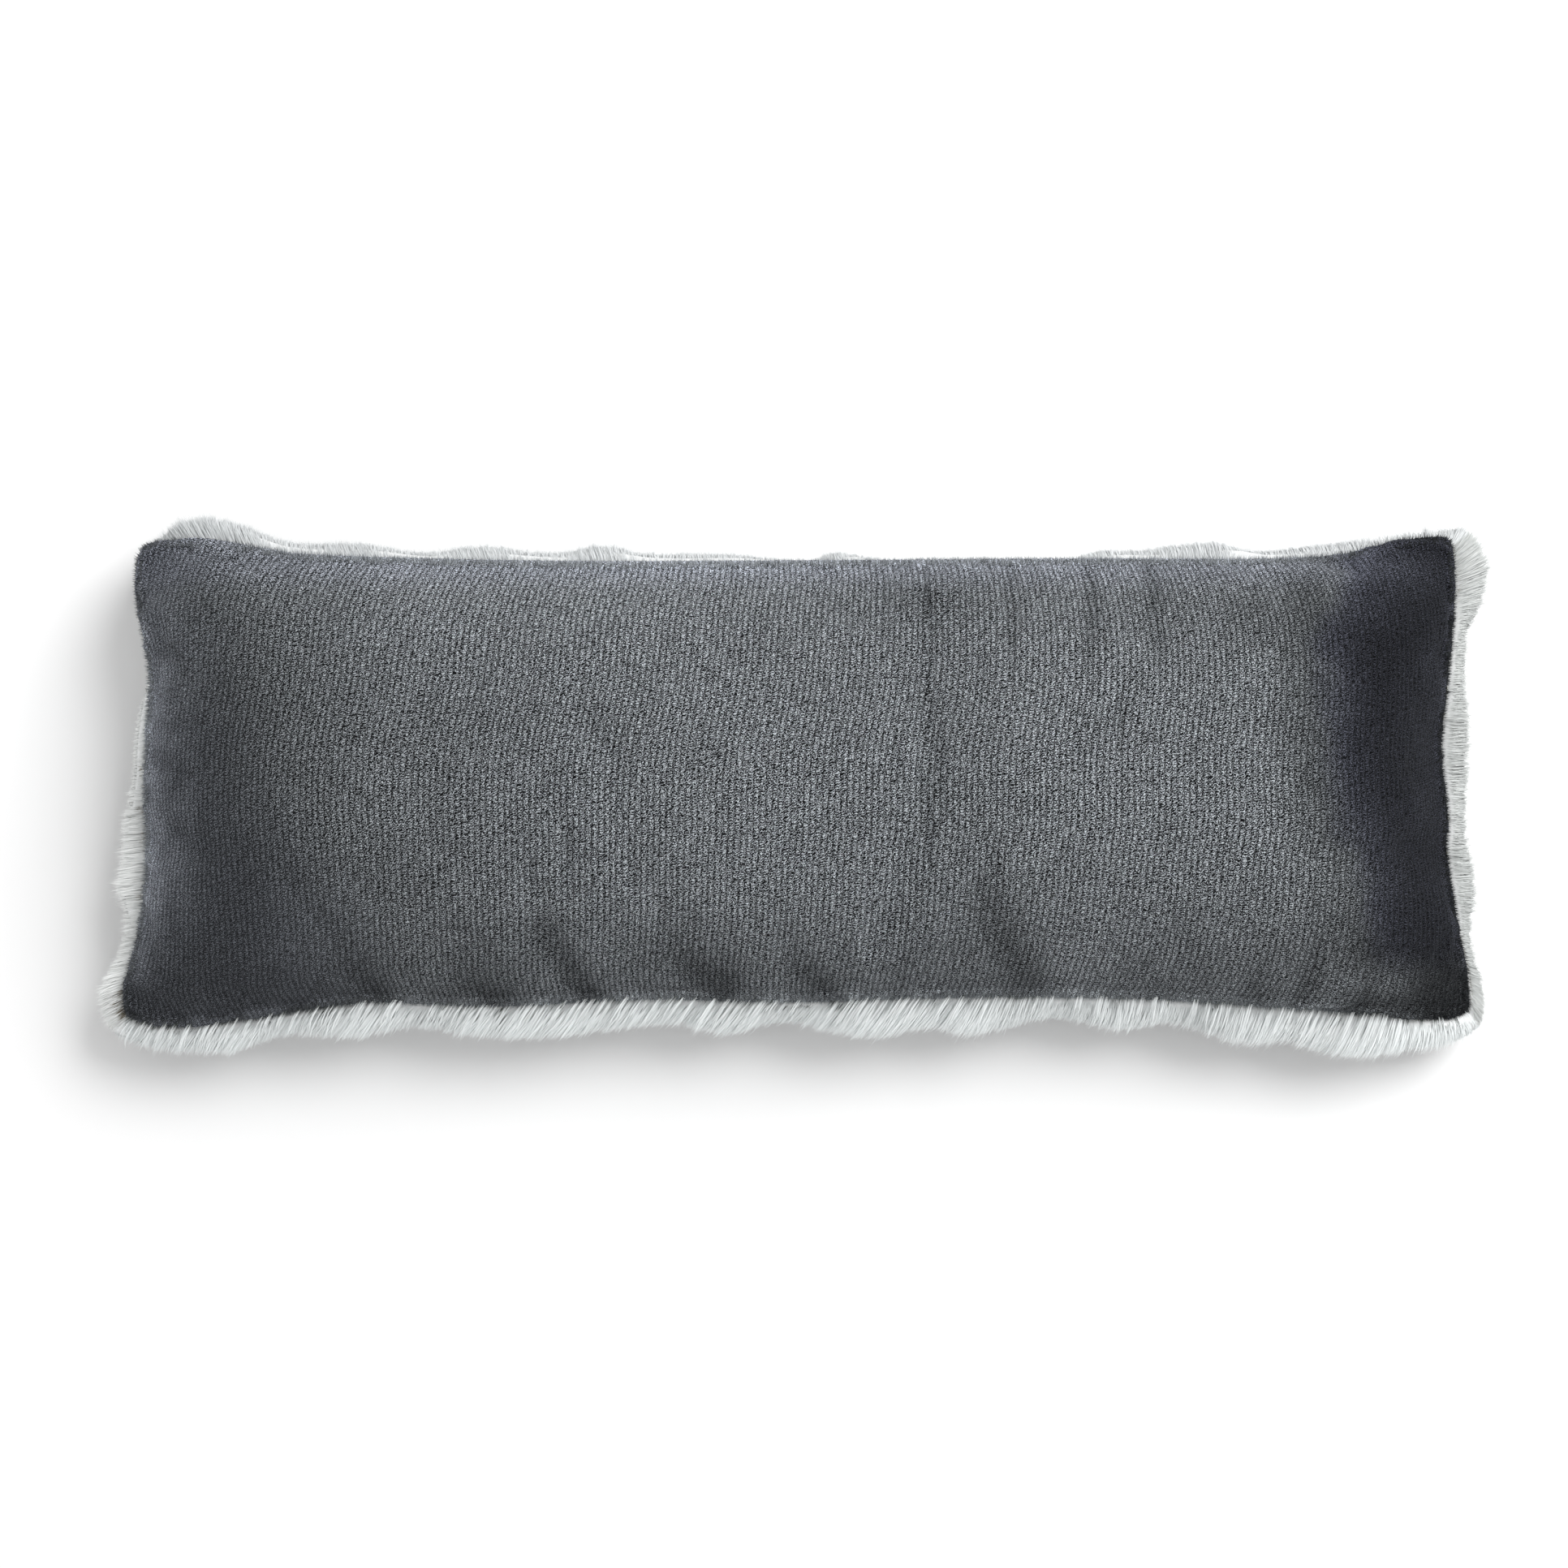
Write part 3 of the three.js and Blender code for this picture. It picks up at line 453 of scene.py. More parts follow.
def plush_size():
    """Length and width of the plush."""
    low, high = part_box(PLUSH_NODE)
    return high.x - low.x, high.y - low.y


def moved_in(s, t, inset):
    """s and t of places on the rim, moved in from it."""
    length, width = plush_size()
    return s * (1 - 2 * inset / length), t * (1 - 2 * inset / width)


def frame_shift():
    """From the plan's own coordinates, with the camera over their origin, to the part's frame."""
    low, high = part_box(PLUSH_NODE)
    rim = np.linspace(-1, 1, RIM_STEPS)
    one = np.ones_like(rim)
    sides = ((rim, one), (rim, -one), (one, rim), (-one, rim))
    loop = np.concatenate([plush_point(s, t) for s, t in sides])
    middle = (loop.min(0) + loop.max(0)) / 2
    return np.array([(low.x + high.x) / 2 - middle[0], (low.y + high.y) / 2 - middle[1], 0.0])


def new_mesh(name, points, faces, smooth=True):
    """A mesh object from arrays: points n x 3, and faces as arrays of quads or triangles."""
    mesh = bpy.data.meshes.new(name)
    mesh.vertices.add(len(points))
    mesh.vertices.foreach_set("co", np.asarray(points, np.float32).ravel())
    sizes = np.concatenate([np.full(len(f), f.shape[1], np.int32) for f in faces])
    corners = np.concatenate([f.ravel() for f in faces]).astype(np.int32)
    mesh.loops.add(len(corners))
    mesh.loops.foreach_set("vertex_index", corners)
    mesh.polygons.add(len(sizes))
    mesh.polygons.foreach_set("loop_start", np.concatenate([[0], np.cumsum(sizes)[:-1]]).astype(np.int32))
    mesh.polygons.foreach_set("use_smooth", np.full(len(sizes), smooth))
    mesh.update(calc_edges=True)
    mesh.validate()
    piece = bpy.data.objects.new(name, mesh)
    bpy.context.scene.collection.objects.link(piece)
    return piece


def set_uv(mesh, name, vertex_uv):
    """A UV map from one value for each vertex."""
    corners = np.empty(len(mesh.loops), np.int32)
    mesh.loops.foreach_get("vertex_index", corners)
    layer = mesh.uv_layers.new(name=name)
    layer.uv.foreach_set("vector", vertex_uv[corners].astype(np.float32).ravel())


def set_values(mesh, **fields):
    """Values that the mesh's points hold for its material, by name."""
    for name, values in fields.items():
        attribute = mesh.attributes.new(name, "FLOAT", "POINT")
        attribute.data.foreach_set("value", np.asarray(values, np.float32).ravel())


def grid_quads(columns, rows, first=0):
    """Quads of a grid whose points are numbered row by row, facing up."""
    i, j = np.meshgrid(np.arange(columns), np.arange(rows))
    corner = j * (columns + 1) + i
    above = corner + columns + 1
    return first + np.stack([corner, corner + 1, above + 1, above], -1).reshape(-1, 4)


def grid_loop(columns, rows):
    """Point numbers round a grid, anticlockwise from its first point."""
    width = columns + 1
    return np.concatenate([
        np.arange(columns),
        np.arange(rows) * width + columns,
        rows * width + columns - np.arange(columns),
        (rows - np.arange(rows)) * width,
    ])


def ring_quads(rings):
    """Quads from each ring of point numbers down to the next one."""
    return [np.stack([upper, lower, np.roll(lower, -1), np.roll(upper, -1)], -1)
            for upper, lower in zip(rings, rings[1:])]


def grid_normals(points):
    """Unit normals of a grid of points, rows by columns, facing up."""
    along = np.gradient(points, axis=1)
    across = np.gradient(points, axis=0)
    return unit(np.cross(along, across))


def blurred(field, sizes):
    """The field smoothed over so many points along each of its first two axes."""
    for axis, size in enumerate(sizes):
        reach = int(3 * size)
        weights = np.exp(-0.5 * (np.arange(-reach, reach + 1) / size) ** 2)
        pad = [(reach, reach) if a == axis else (0, 0) for a in range(field.ndim)]
        weights /= weights.sum()
        wide = np.pad(field, pad, mode="edge")
        field = np.apply_along_axis(lambda line: np.convolve(line, weights, "valid"), axis, wide)
    return field


def value_noise(x, y, size, seed):
    """Smooth random field from about -1 to 1, with features of this size."""
    cells = 64
    lattice = np.random.default_rng(seed).uniform(-1, 1, (cells, cells))
    u, v = x / size, y / size
    i, j = np.floor(u).astype(int), np.floor(v).astype(int)
    f, g = eased(u - i), eased(v - j)

    def corner(a, b):
        return lattice[(i + a) % cells, (j + b) % cells]

    return lerp(lerp(corner(0, 0), corner(1, 0), f), lerp(corner(0, 1), corner(1, 1), f), g)


def cloudy(x, y, size, seed):
    """Three sizes of noise on top of each other, each half the one before."""
    shares = [0.5 ** k for k in range(3)]
    return sum(value_noise(x, y, size * f, seed + k) * f for k, f in enumerate(shares)) / sum(shares)


# Nubs of the pile: their size, how far they lean, and what each part adds to their relief
NUB = {
    "length": 0.6 * MM, "width": 0.62 * MM, "lean": math.radians(-24), "drift_size": 26 * MM,
    "rib_wander": 1.1 * MM, "valley_power": 1.5, "rib_share": 0.34, "rib_change": 0.2,
    "gap_share": 1.15, "height_share": 0.2, "tuft_size": 0.85 * MM, "tuft_share": 1.45, "level": 0.62,
}
# Stitches: their length along a rib, and how far they lean over one rib, zigzag and wander, in stitches
STITCH = {
    "length": 1.6 * MM, "slant": -1.3, "zigzag": 1.2, "uneven": 2.4, "uneven_scale": 0.38, "share": 0.5,
}
# Where the pile lies flat, fine streaks along the ribs take the place of a share of the nubs
STREAK = {"length": 6 * MM, "width": 0.9 * MM, "relief": 1.6, "level": 0.3, "share": 0.25}
# Painted light of the pile by its relief: painted shade between the nubs and in the rib valleys, painted
# highlight on the nub tips; its mean, and what that light is multiplied by
NUB_PAINTED_LIGHT = ((0.05, 0.005), (0.25, 0.27), (0.5, 0.447), (0.9, 0.92))
MEAN_LIGHT = 0.26
LIGHT_GAIN = 5.85

# Single tufts of pile in a band along the plush's edges
PILE = {
    "count": 18000, "band": 5 * MM, "crowd": 1.8, "length": 3.2 * MM, "width": 0.55 * MM, "sunk": 0.4 * MM,
    "lean": 0.9, "scatter": 0.4, "lengths": (0.5, 1.2), "light": (0.5, 2.2), "most_light": 4.0,
    "root_level": 0.5, "tip_level": 0.7,
}
TUFT_STRIP = 0.01  # half the width of a tuft's strip on the OFBake map

# Painted light and shade of the pile: darker and lighter places, partly where the pile is stroked one way
# or the other and partly standing in for how the light falls on the cushion
# Painted shade over the right end, where the pile lies the other way: where it starts, and how soft, ragged
# and dark it is and how clearly its nubs show
DARK_END_LINE = table(
    "y x", (-150, 372), (-120, 366), (-97, 362), (-64, 355), (-20, 341), (54, 328), (110, 336), (140, 352),
)
DARK_END = {"soft": 40 * MM, "ragged": 17 * MM, "ragged_size": 30 * MM, "tone": 0.18, "grain": 0.95}
# Deeper painted shade further into the right end
DEEP_END = {"start": 8 * MM, "full": 55 * MM, "tone": 0.42}
# Painted shade over the left end, which faces away from the light: where it starts, how soft and dark it is
# and how clearly its nubs show
LEFT_END_LINE = table("y x", (-150, -265), (-60, -300), (-20, -330), (60, -362), (100, -375), (150, -400))
LEFT_END = {"soft": 52 * MM, "tone": 0.54, "grain": 0.75}
LEFT_MARGIN = {
    "width": 26 * MM, "tone": 4.2, "grain": 0.85, "least": 0.75, "patchy": 0.6, "patch_size": 14 * MM,
}
LEFT_MARGIN_SHARE = table("y share", (-140, 0), (-112, 700), (-60, 1000), (87, 1000), (122, 400), (150, 0))
# Unevenness of the pile's light, as shares of it
MOTTLE = {"pale": 0.06, "dark": 0.2, "size": 22 * MM, "broad": 0.05, "broad_size": 60 * MM}
# Painted violet sheen of the pile: deep in the dark end above a height on the plan, and a little elsewhere
PAINTED_SHEEN = {
    "dark": (0.5, 1), "above": (-128 * MM, -98 * MM), "top": (118 * MM, 140 * MM),
    "left_share": 0.3, "top_share": 0.3,
}
# Painted light and shade along the pillow, darker towards the left end
PAINTED_LIGHT_ALONG = table(
    "x tone", (-430, 660), (-345, 660), (-300, 710), (-250, 840), (-200, 880), (-96, 1040), (0, 1070),
    (60, 1020), (100, 960), (125, 960), (155, 1050), (300, 980), (430, 980),
)
# Painted light and shade across the pillow, lighter at the top edge, which faces the light, and darker near
# the bottom edge
PAINTED_LIGHT_ACROSS = table(
    "y tone", (-150, 1000), (-133, 900), (-120, 850), (-100, 930), (-70, 1010), (0, 1030), (60, 990),
    (85, 950), (105, 900), (125, 960), (137, 1170), (150, 1300),
)
# Patches of painted light and shade on the plush: place x and y, size along and across, turn and tone
PAINTED_LIGHT_PATCHES = table(
    "x y along across turn tone",
    (345, 134, 18, 10, 0, 350), (412, -146, 24, 9, 0, 500), (305, 108, 26, 14, 200, -180),
    (100, 118, 62, 8, 0, -160), (-60, 138, 130, 9, 0, 120), (-150, -112, 8, 20, 300, 200),
    (-225, -112, 8, 18, 300, 150), (-75, -120, 8, 16, 300, 150), (60, -110, 12, 20, 300, 120),
    (250, -40, 60, 60, 0, 40), (385, 110, 14, 14, 0, 300), (412, 78, 8, 8, 0, 500),
    (-412, 20, 7, 18, 300, 350), (-410, -35, 7, 20, 300, 300), (-350, 40, 24, 60, 0, -160),
    (-215, 114, 130, 34, 0, 340), (270, 112, 90, 26, 0, -130), (-315, -105, 24, 22, 0, 240),
    (-128, -112, 12, 14, 0, 200), (-157, -100, 9, 14, 300, -300), (175, -114, 30, 16, 0, 220),
    (392, 130, 28, 18, 0, 500), (-330, -20, 32, 50, 0, -120), (-255, -52, 42, 26, 0, -140),
    (-300, 138, 70, 14, 0, 220), (-378, -42, 18, 34, 0, 300), (350, 136, 16, 12, 0, -280),
    (375, 106, 16, 12, 0, 300), (374, 20, 14, 70, 0, 80), (398, -126, 28, 13, 0, 1900),
    (370, -104, 14, 14, 0, -350), (333, -76, 12, 22, 0, -160), (398, 138, 22, 12, 0, 600),
    (362, 122, 18, 14, 0, 220), (334, 130, 12, 14, 0, -180), (404, -20, 10, 18, 0, 250),
)

# Painted light where the pile turns over at each side, lifting the shade of the rolled edges: how much,
# and from how near the side
PAINTED_EDGE_LIGHT = {"left": 0.55, "right": 1.2, "bottom": 1.15, "top": 0.42}
EDGE_BAND = {"left": 7 * MM, "right": 8.5 * MM, "bottom": 6.3 * MM, "top": 8.5 * MM}
EDGE_FULL = 3 * MM


def painted_edge_light(x, y):
    """How much painted light lifts the pile towards the plush's sides: 0 away from them."""
    inside = {
        "left": x - read_table(LEFT_SIDE, y), "right": read_table(RIGHT_SIDE, y) - x,
        "bottom": y - read_table(BOTTOM_SIDE, x), "top": read_table(TOP_SIDE, x) - y,
    }
    lights = [PAINTED_EDGE_LIGHT[side] * smoothstep(EDGE_BAND[side], EDGE_FULL, inside[side]) for side in inside]
    return np.maximum.reduce(lights)


def nap_tone(x, y):
    """Painted light and shade of the pile at a place on the plan, with its random mottle: 1 over the middle.
    """
    dark, left, margin = end_shares(x, y)
    # Painted shade over both ends, and the left side lighter
    tone = lerp(1, DARK_END["tone"], dark) * lerp(1, LEFT_END["tone"], left)
    tone = tone * lerp(1, LEFT_MARGIN["tone"], margin)
    past = x - read_table(DARK_END_LINE, y)
    deep = smoothstep(DEEP_END["start"], DEEP_END["full"], past) * dark
    tone = tone * lerp(1, DEEP_END["tone"], deep)
    # Painted light and shade along and across the pillow, painted shade in the troughs, painted light at its
    # sides and painted patches
    tone = tone * read_table(PAINTED_LIGHT_ALONG, x) * read_table(PAINTED_LIGHT_ACROSS, y)
    tone = tone * np.exp(-FOLD_SHADE * fold_depth(x, y)) * (1 + painted_edge_light(x, y))
    for place_x, place_y, along, across, turn, more in each_row(PAINTED_LIGHT_PATCHES):
        u = (x - place_x) * math.cos(turn) + (y - place_y) * math.sin(turn)
        v = (y - place_y) * math.cos(turn) - (x - place_x) * math.sin(turn)
        tone = tone * (1 + more * np.exp(-(u / along) ** 2 - (v / across) ** 2))
    mottle = lerp(MOTTLE["pale"], MOTTLE["dark"], dark) * cloudy(x, y, MOTTLE["size"], SEEDS["mottle"])
    return tone * (1 + mottle + MOTTLE["broad"] * cloudy(x, y, MOTTLE["broad_size"], SEEDS["broad"]))


def end_shares(x, y):
    """How far a place is into the dark right end and the dark left end, and how near the left margin."""
    ragged = DARK_END["ragged"] * cloudy(x, y, DARK_END["ragged_size"], SEEDS["ragged"])
    into_right = x - read_table(DARK_END_LINE, y) + ragged
    into_left = read_table(LEFT_END_LINE, y) - x + ragged / 2
    dark = smoothstep(-DARK_END["soft"], DARK_END["soft"], into_right)
    left = smoothstep(-LEFT_END["soft"], LEFT_END["soft"], into_left)
    margin = np.exp(-((x - read_table(LEFT_SIDE, y)) / LEFT_MARGIN["width"]) ** 2)
    margin = margin * read_table(LEFT_MARGIN_SHARE, y)
    patches = LEFT_MARGIN["patchy"] * cloudy(x, y, LEFT_MARGIN["patch_size"], SEEDS["margin"])
    return dark, left, margin * clamp01(LEFT_MARGIN["least"] + patches)


def nap_look(x, y):
    """How clearly the nubs show, how far the pile is combed into streaks, and its painted violet sheen."""
    dark, left, margin = end_shares(x, y)
    grain = lerp(1, DARK_END["grain"], dark) * lerp(1, LEFT_END["grain"], left)
    right_sheen = smoothstep(*PAINTED_SHEEN["dark"], dark) * smoothstep(*PAINTED_SHEEN["above"], y)
    top_sheen = PAINTED_SHEEN["top_share"] * smoothstep(*PAINTED_SHEEN["top"], y)
    return {
        "grain": grain * lerp(1, LEFT_MARGIN["grain"], margin),
        "streak": STREAK["share"] * dark,
        "painted_sheen": clamp01(right_sheen + PAINTED_SHEEN["left_share"] * left + top_sheen),
    }


def notches(x, y):
    """Where painted shade darkens the roots between the tufts of hair: 0 in most places, up to 1."""
    return clamp01(NOTCH["gain"] * value_noise(x, y, NOTCH["size"], SEEDS["notches"]) - NOTCH["start"])


def rib_places(rows, columns):
    """s of each rib column in each row: equal lengths along the cloth, leaning and bowing as the ribs do."""
    steps = 240
    s = np.sin(np.linspace(-math.pi / 2, math.pi / 2, steps + 1))
    points = plush_point(*np.meshgrid(s, rows))
    lengths = np.linalg.norm(np.diff(points, axis=1), axis=-1).cumsum(1)
    lengths = np.concatenate([np.zeros((len(rows), 1)), lengths], 1)
    even = np.linspace(-1, 1, columns + 1)
    tilt = RIB_LEAN["tilt"] + RIB_LEAN["tilt_change"] * even
    bow = RIB_LEAN["bow"] + RIB_LEAN["bow_change"] * even
    t = rows[:, None]
    shift = (tilt * t + bow * t * t) * (1 - even * even)
    wanted = (even + 1) / 2 * lengths[:, -1:] + shift
    return np.stack([np.interp(w, length, s) for w, length in zip(wanted, lengths)])


# Cloth simulation of the plush, which gives it its slight puckers
SIM_COLUMNS = 150
SIM_ROWS = 54
SIM_FRAMES = 20
SIM_DEPTH = 30 * MM
SIM_SMOOTH = (7, 9)  # grid points over which the swelling is told apart from the puckers
SIM_CLOTH = {
    "quality": 5, "mass": 0.15, "tension_stiffness": 20, "compression_stiffness": 20, "shear_stiffness": 6,
    "bending_stiffness": 0.15, "use_pressure": True, "uniform_pressure_force": 4, "pin_stiffness": 1,
}


def simulated_puckers(settings):
    """Height of the puckers on a grid of s and t, from a filled cloth that is held at its seam."""
    s, t = even_turn(SIM_COLUMNS), even_turn(SIM_ROWS)
    grid_s, grid_t = np.meshgrid(s, t)
    top = plush_point(grid_s, grid_t)
    count = grid_s.size
    under = top.copy()
    full = fullness(plan_point(grid_s, grid_t, PLUSH_EDGE), grid_t, BELLY_FORM)
    under[..., 2] = seam_height(grid_s, grid_t) - SIM_DEPTH * full
    loop = grid_loop(SIM_COLUMNS, SIM_ROWS)
    lower = np.arange(count) + count
    lower[loop] = loop
    quads = grid_quads(SIM_COLUMNS, SIM_ROWS)
    both = np.concatenate([top.reshape(-1, 3), under.reshape(-1, 3)])
    cloth = new_mesh("cloth_trial", both, [quads, lower[quads][:, ::-1]])
    held = cloth.vertex_groups.new(name="held")
    held.add([int(k) for k in loop] + [int(k) for k in range(count, 2 * count)], 1.0, "REPLACE")
    modifier = cloth.modifiers.new("Cloth", "CLOTH")
    for name, value in SIM_CLOTH.items():
        setattr(modifier.settings, name, value)
    modifier.settings.vertex_group_mass = held.name
    modifier.settings.shrink_min = -settings.cloth_spare
    modifier.settings.effector_weights.gravity = 0
    modifier.collision_settings.use_collision = False
    modifier.point_cache.frame_start = 1
    modifier.point_cache.frame_end = SIM_FRAMES
    for step in range(1, SIM_FRAMES + 1):
        bpy.context.scene.frame_set(step)
    evaluated = cloth.evaluated_get(bpy.context.evaluated_depsgraph_get())
    settled = np.empty(len(evaluated.data.vertices) * 3, np.float32)
    evaluated.data.vertices.foreach_get("co", settled)
    moved = settled.reshape(-1, 3)[:count].reshape(top.shape) - top
    bpy.context.scene.frame_set(1)
    bpy.data.objects.remove(cloth)
    height = dot(moved, grid_normals(top))
    puckers = height - blurred(height, SIM_SMOOTH)
    return s, t, np.clip(puckers, -settings.pucker_limit, settings.pucker_limit)


def read_grid(s, t, known_s, known_t, field):
    """The field's value at each s and t, straight between its grid points."""
    i = np.clip(np.searchsorted(known_s, s) - 1, 0, len(known_s) - 2)
    j = np.clip(np.searchsorted(known_t, t) - 1, 0, len(known_t) - 2)
    f = clamp01((s - known_s[i]) / (known_s[i + 1] - known_s[i]))
    g = clamp01((t - known_t[j]) / (known_t[j + 1] - known_t[j]))
    f, g = eased(f), eased(g)
    return lerp(lerp(field[j, i], field[j, i + 1], f), lerp(field[j + 1, i], field[j + 1, i + 1], f), g)


def new_material(name, finish):
    """A material, its node tree and its one shader, with the finish set on the shader's sockets."""
    material = bpy.data.materials.new(name)
    material.use_nodes = True
    tree = material.node_tree
    shader = next(n for n in tree.nodes if n.type == "BSDF_PRINCIPLED")
    for socket, value in finish.items():
        shader.inputs[socket].default_value = value
    return material, tree, shader


def add_node(tree, kind, inputs=None, **settings):
    """A node with its settings, and its inputs given as values or as the sockets that feed them."""
    node = tree.nodes.new(kind)
    for key, value in settings.items():
        setattr(node, key, value)
    for key, value in (inputs or {}).items():
        socket = node.inputs[key]
        if isinstance(value, bpy.types.NodeSocket):
            tree.links.new(value, socket)
        else:
            socket.default_value = value
    return node


def math_node(tree, operation, *values):
    return add_node(tree, "ShaderNodeMath", dict(enumerate(values)), operation=operation).outputs[0]


def times(tree, value, factor):
    return math_node(tree, "MULTIPLY", value, factor)


def times_plus(tree, value, factor, more):
    return math_node(tree, "MULTIPLY_ADD", value, factor, more)


def point_value(tree, name):
    """What the mesh's points hold under this name."""
    return add_node(tree, "ShaderNodeAttribute", attribute_name=name).outputs["Fac"]


def mapped_place(tree, uv_map):
    """Coordinates of a UV map, whole and taken apart."""
    place = add_node(tree, "ShaderNodeUVMap", uv_map=uv_map).outputs["UV"]
    return place, add_node(tree, "ShaderNodeSeparateXYZ", {"Vector": place}).outputs


def stretched(tree, place, width, length, lean=0.0):
    """Coordinates that grow by one over each width and each length, turned by lean."""
    return add_node(tree, "ShaderNodeMapping", {
        "Vector": place, "Rotation": (0, 0, lean), "Scale": (1 / width, 1 / length, 1)}).outputs["Vector"]


def noise(tree, place, scale, detail):
    return add_node(tree, "ShaderNodeTexNoise", {
        "Vector": place, "Scale": scale, "Detail": detail}).outputs["Fac"]


def paint(tree, shader, colour, level):
    """Gives the shader a colour at a level of light."""
    shade = add_node(tree, "ShaderNodeVectorMath", {0: colour, "Scale": level}, operation="SCALE")
    tree.links.new(shade.outputs["Vector"], shader.inputs["Base Color"])


def emboss(tree, shader, strength, distance, height):
    bump = add_node(tree, "ShaderNodeBump", {"Strength": strength, "Distance": distance, "Height": height})
    tree.links.new(bump.outputs["Normal"], shader.inputs["Normal"])


def ramp(tree, factor, *stops):
    """A colour ramp with (place, colour) stops."""
    node = add_node(tree, "ShaderNodeValToRGB", {"Fac": factor})
    elements = node.color_ramp.elements
    while len(elements) < len(stops):
        elements.new(0.5)
    for element, (place, colour) in zip(elements, stops):
        element.position = place
        element.color = (*colour, 1)
    return node.outputs["Color"]


def plush_relief(tree, pitch):
    """Relief of the pile: ribs, the nubs in them, their tufts and stitches, and streaks at the dark end."""
    place, apart = mapped_place(tree, "ribs")
    drift = noise(tree, place, 1 / NUB["drift_size"], 1.0)
    # Ribs: a narrow valley between two, dark with painted shade, clearer in some places than in others
    across = times_plus(tree, drift, NUB["rib_wander"], apart["X"])
    wave = math_node(tree, "COSINE", times(tree, across, FULL_TURN / pitch))
    valley = math_node(tree, "POWER", times_plus(tree, wave, 0.5, 0.5), NUB["valley_power"])
    clear = times_plus(tree, drift, -NUB["rib_change"], NUB["rib_change"] / 2 - NUB["rib_share"])
    relief = times(tree, valley, clear)
    # Nubs: cells, each of its own height
    nub_place = stretched(tree, place, NUB["width"], NUB["length"], NUB["lean"])
    nubs = add_node(tree, "ShaderNodeTexVoronoi", {
        "Vector": nub_place, "Scale": 1.0, "Randomness": 1.0}, voronoi_dimensions="2D").outputs
    nub_height = add_node(tree, "ShaderNodeSeparateXYZ", {"Vector": nubs["Color"]}).outputs["X"]
    relief = times_plus(tree, nubs["Distance"], -NUB["gap_share"], relief)
    relief = times_plus(tree, nub_height, NUB["height_share"], relief)
    relief = times_plus(tree, noise(tree, place, 1 / NUB["tuft_size"], 0.0), NUB["tuft_share"], relief)
    # Stitches: short strokes one above the other along each rib, up to the right, unevenly
    uneven = noise(tree, nub_place, STITCH["uneven_scale"], 1.0)
    half_rib = math_node(tree, "PINGPONG", times(tree, apart["X"], 1 / pitch), 0.5)
    phase = times(tree, apart["Y"], 1 / STITCH["length"])
    phase = times_plus(tree, apart["X"], STITCH["slant"] / pitch, phase)
    phase = times_plus(tree, half_rib, STITCH["zigzag"], phase)
    phase = times_plus(tree, uneven, STITCH["uneven"], phase)
    stitch = math_node(tree, "COSINE", times(tree, phase, FULL_TURN))
    relief = times_plus(tree, stitch, STITCH["share"], relief)
    relief = math_node(tree, "ADD", relief, NUB["level"] - NUB["tuft_share"] / 2)
    # Streaks, where the pile is combed flat
    streaks = noise(tree, stretched(tree, place, STREAK["width"], STREAK["length"]), 1.0, 1.0)
    streaks = times_plus(tree, streaks, STREAK["relief"], STREAK["level"] - STREAK["relief"] / 2)
    return add_node(tree, "ShaderNodeMix", {
        "Factor": point_value(tree, "streak"), "A": relief, "B": streaks}).outputs["Result"]


def plush_material(settings):
    """Short nubby pile in ribs: painted shade between the nubs and highlight on their tips, with a soft
    sheen.
    """
    material, tree, shader = new_material("ribbed_plush", PLUSH_FINISH)
    relief = plush_relief(tree, rib_pitch(settings))
    light = ramp(tree, relief, *((place, (level,) * 3) for place, level in NUB_PAINTED_LIGHT))
    # Where the pile lies flat, its nubs show less
    contrast = math_node(tree, "SUBTRACT", light, MEAN_LIGHT)
    shown = times_plus(tree, contrast, point_value(tree, "grain"), MEAN_LIGHT)
    # The pile's level carries its painted light and shade, and its mottle
    level = times(tree, shown, times(tree, point_value(tree, "nap"), LIGHT_GAIN))
    # Its colour turns violet where it takes the painted sheen
    painted_light_tint = ramp(tree, point_value(tree, "painted_sheen"), (0.0, settings.colour), (1.0, settings.painted_sheen_colour))
    paint(tree, shader, painted_light_tint, level)
    emboss(tree, shader, settings.nub_strength, settings.nub_height, relief)
    return material


def rib_pitch(settings):
    return plush_size()[0] / settings.rib_count


def scatter(face, weight, count, rng, columns=420, rows=160):
    """Places s and t spread evenly over a face's area, where weight lets them be."""
    s, t = np.meshgrid(even_turn(columns), even_turn(rows))
    points = face(s, t)
    diagonals = np.cross(points[1:, 1:] - points[:-1, :-1], points[1:, :-1] - points[:-1, 1:])
    middle_s = (s[1:, 1:] + s[:-1, :-1]) / 2
    middle_t = (t[1:, 1:] + t[:-1, :-1]) / 2
    shares = np.linalg.norm(diagonals, axis=-1) * weight(middle_s, middle_t)
    cell = rng.choice(shares.size, count, p=shares.ravel() / shares.sum())
    j, i = np.divmod(cell, columns)
    known_s, known_t = even_turn(columns), even_turn(rows)
    return (lerp(known_s[i], known_s[i + 1], rng.random(count)),
            lerp(known_t[j], known_t[j + 1], rng.random(count)))


def nearness(s, t):
    """Distance to the nearest side, and how much each place belongs to an end and to a long side."""
    length, width = plush_size()
    to_end = (1 - np.abs(s)) * length / 2
    to_side = (1 - np.abs(t)) * width / 2
    nearest = np.minimum(to_end, to_side)
    return nearest, np.exp((nearest - to_end) / LAY_BLEND), np.exp((nearest - to_side) / LAY_BLEND)


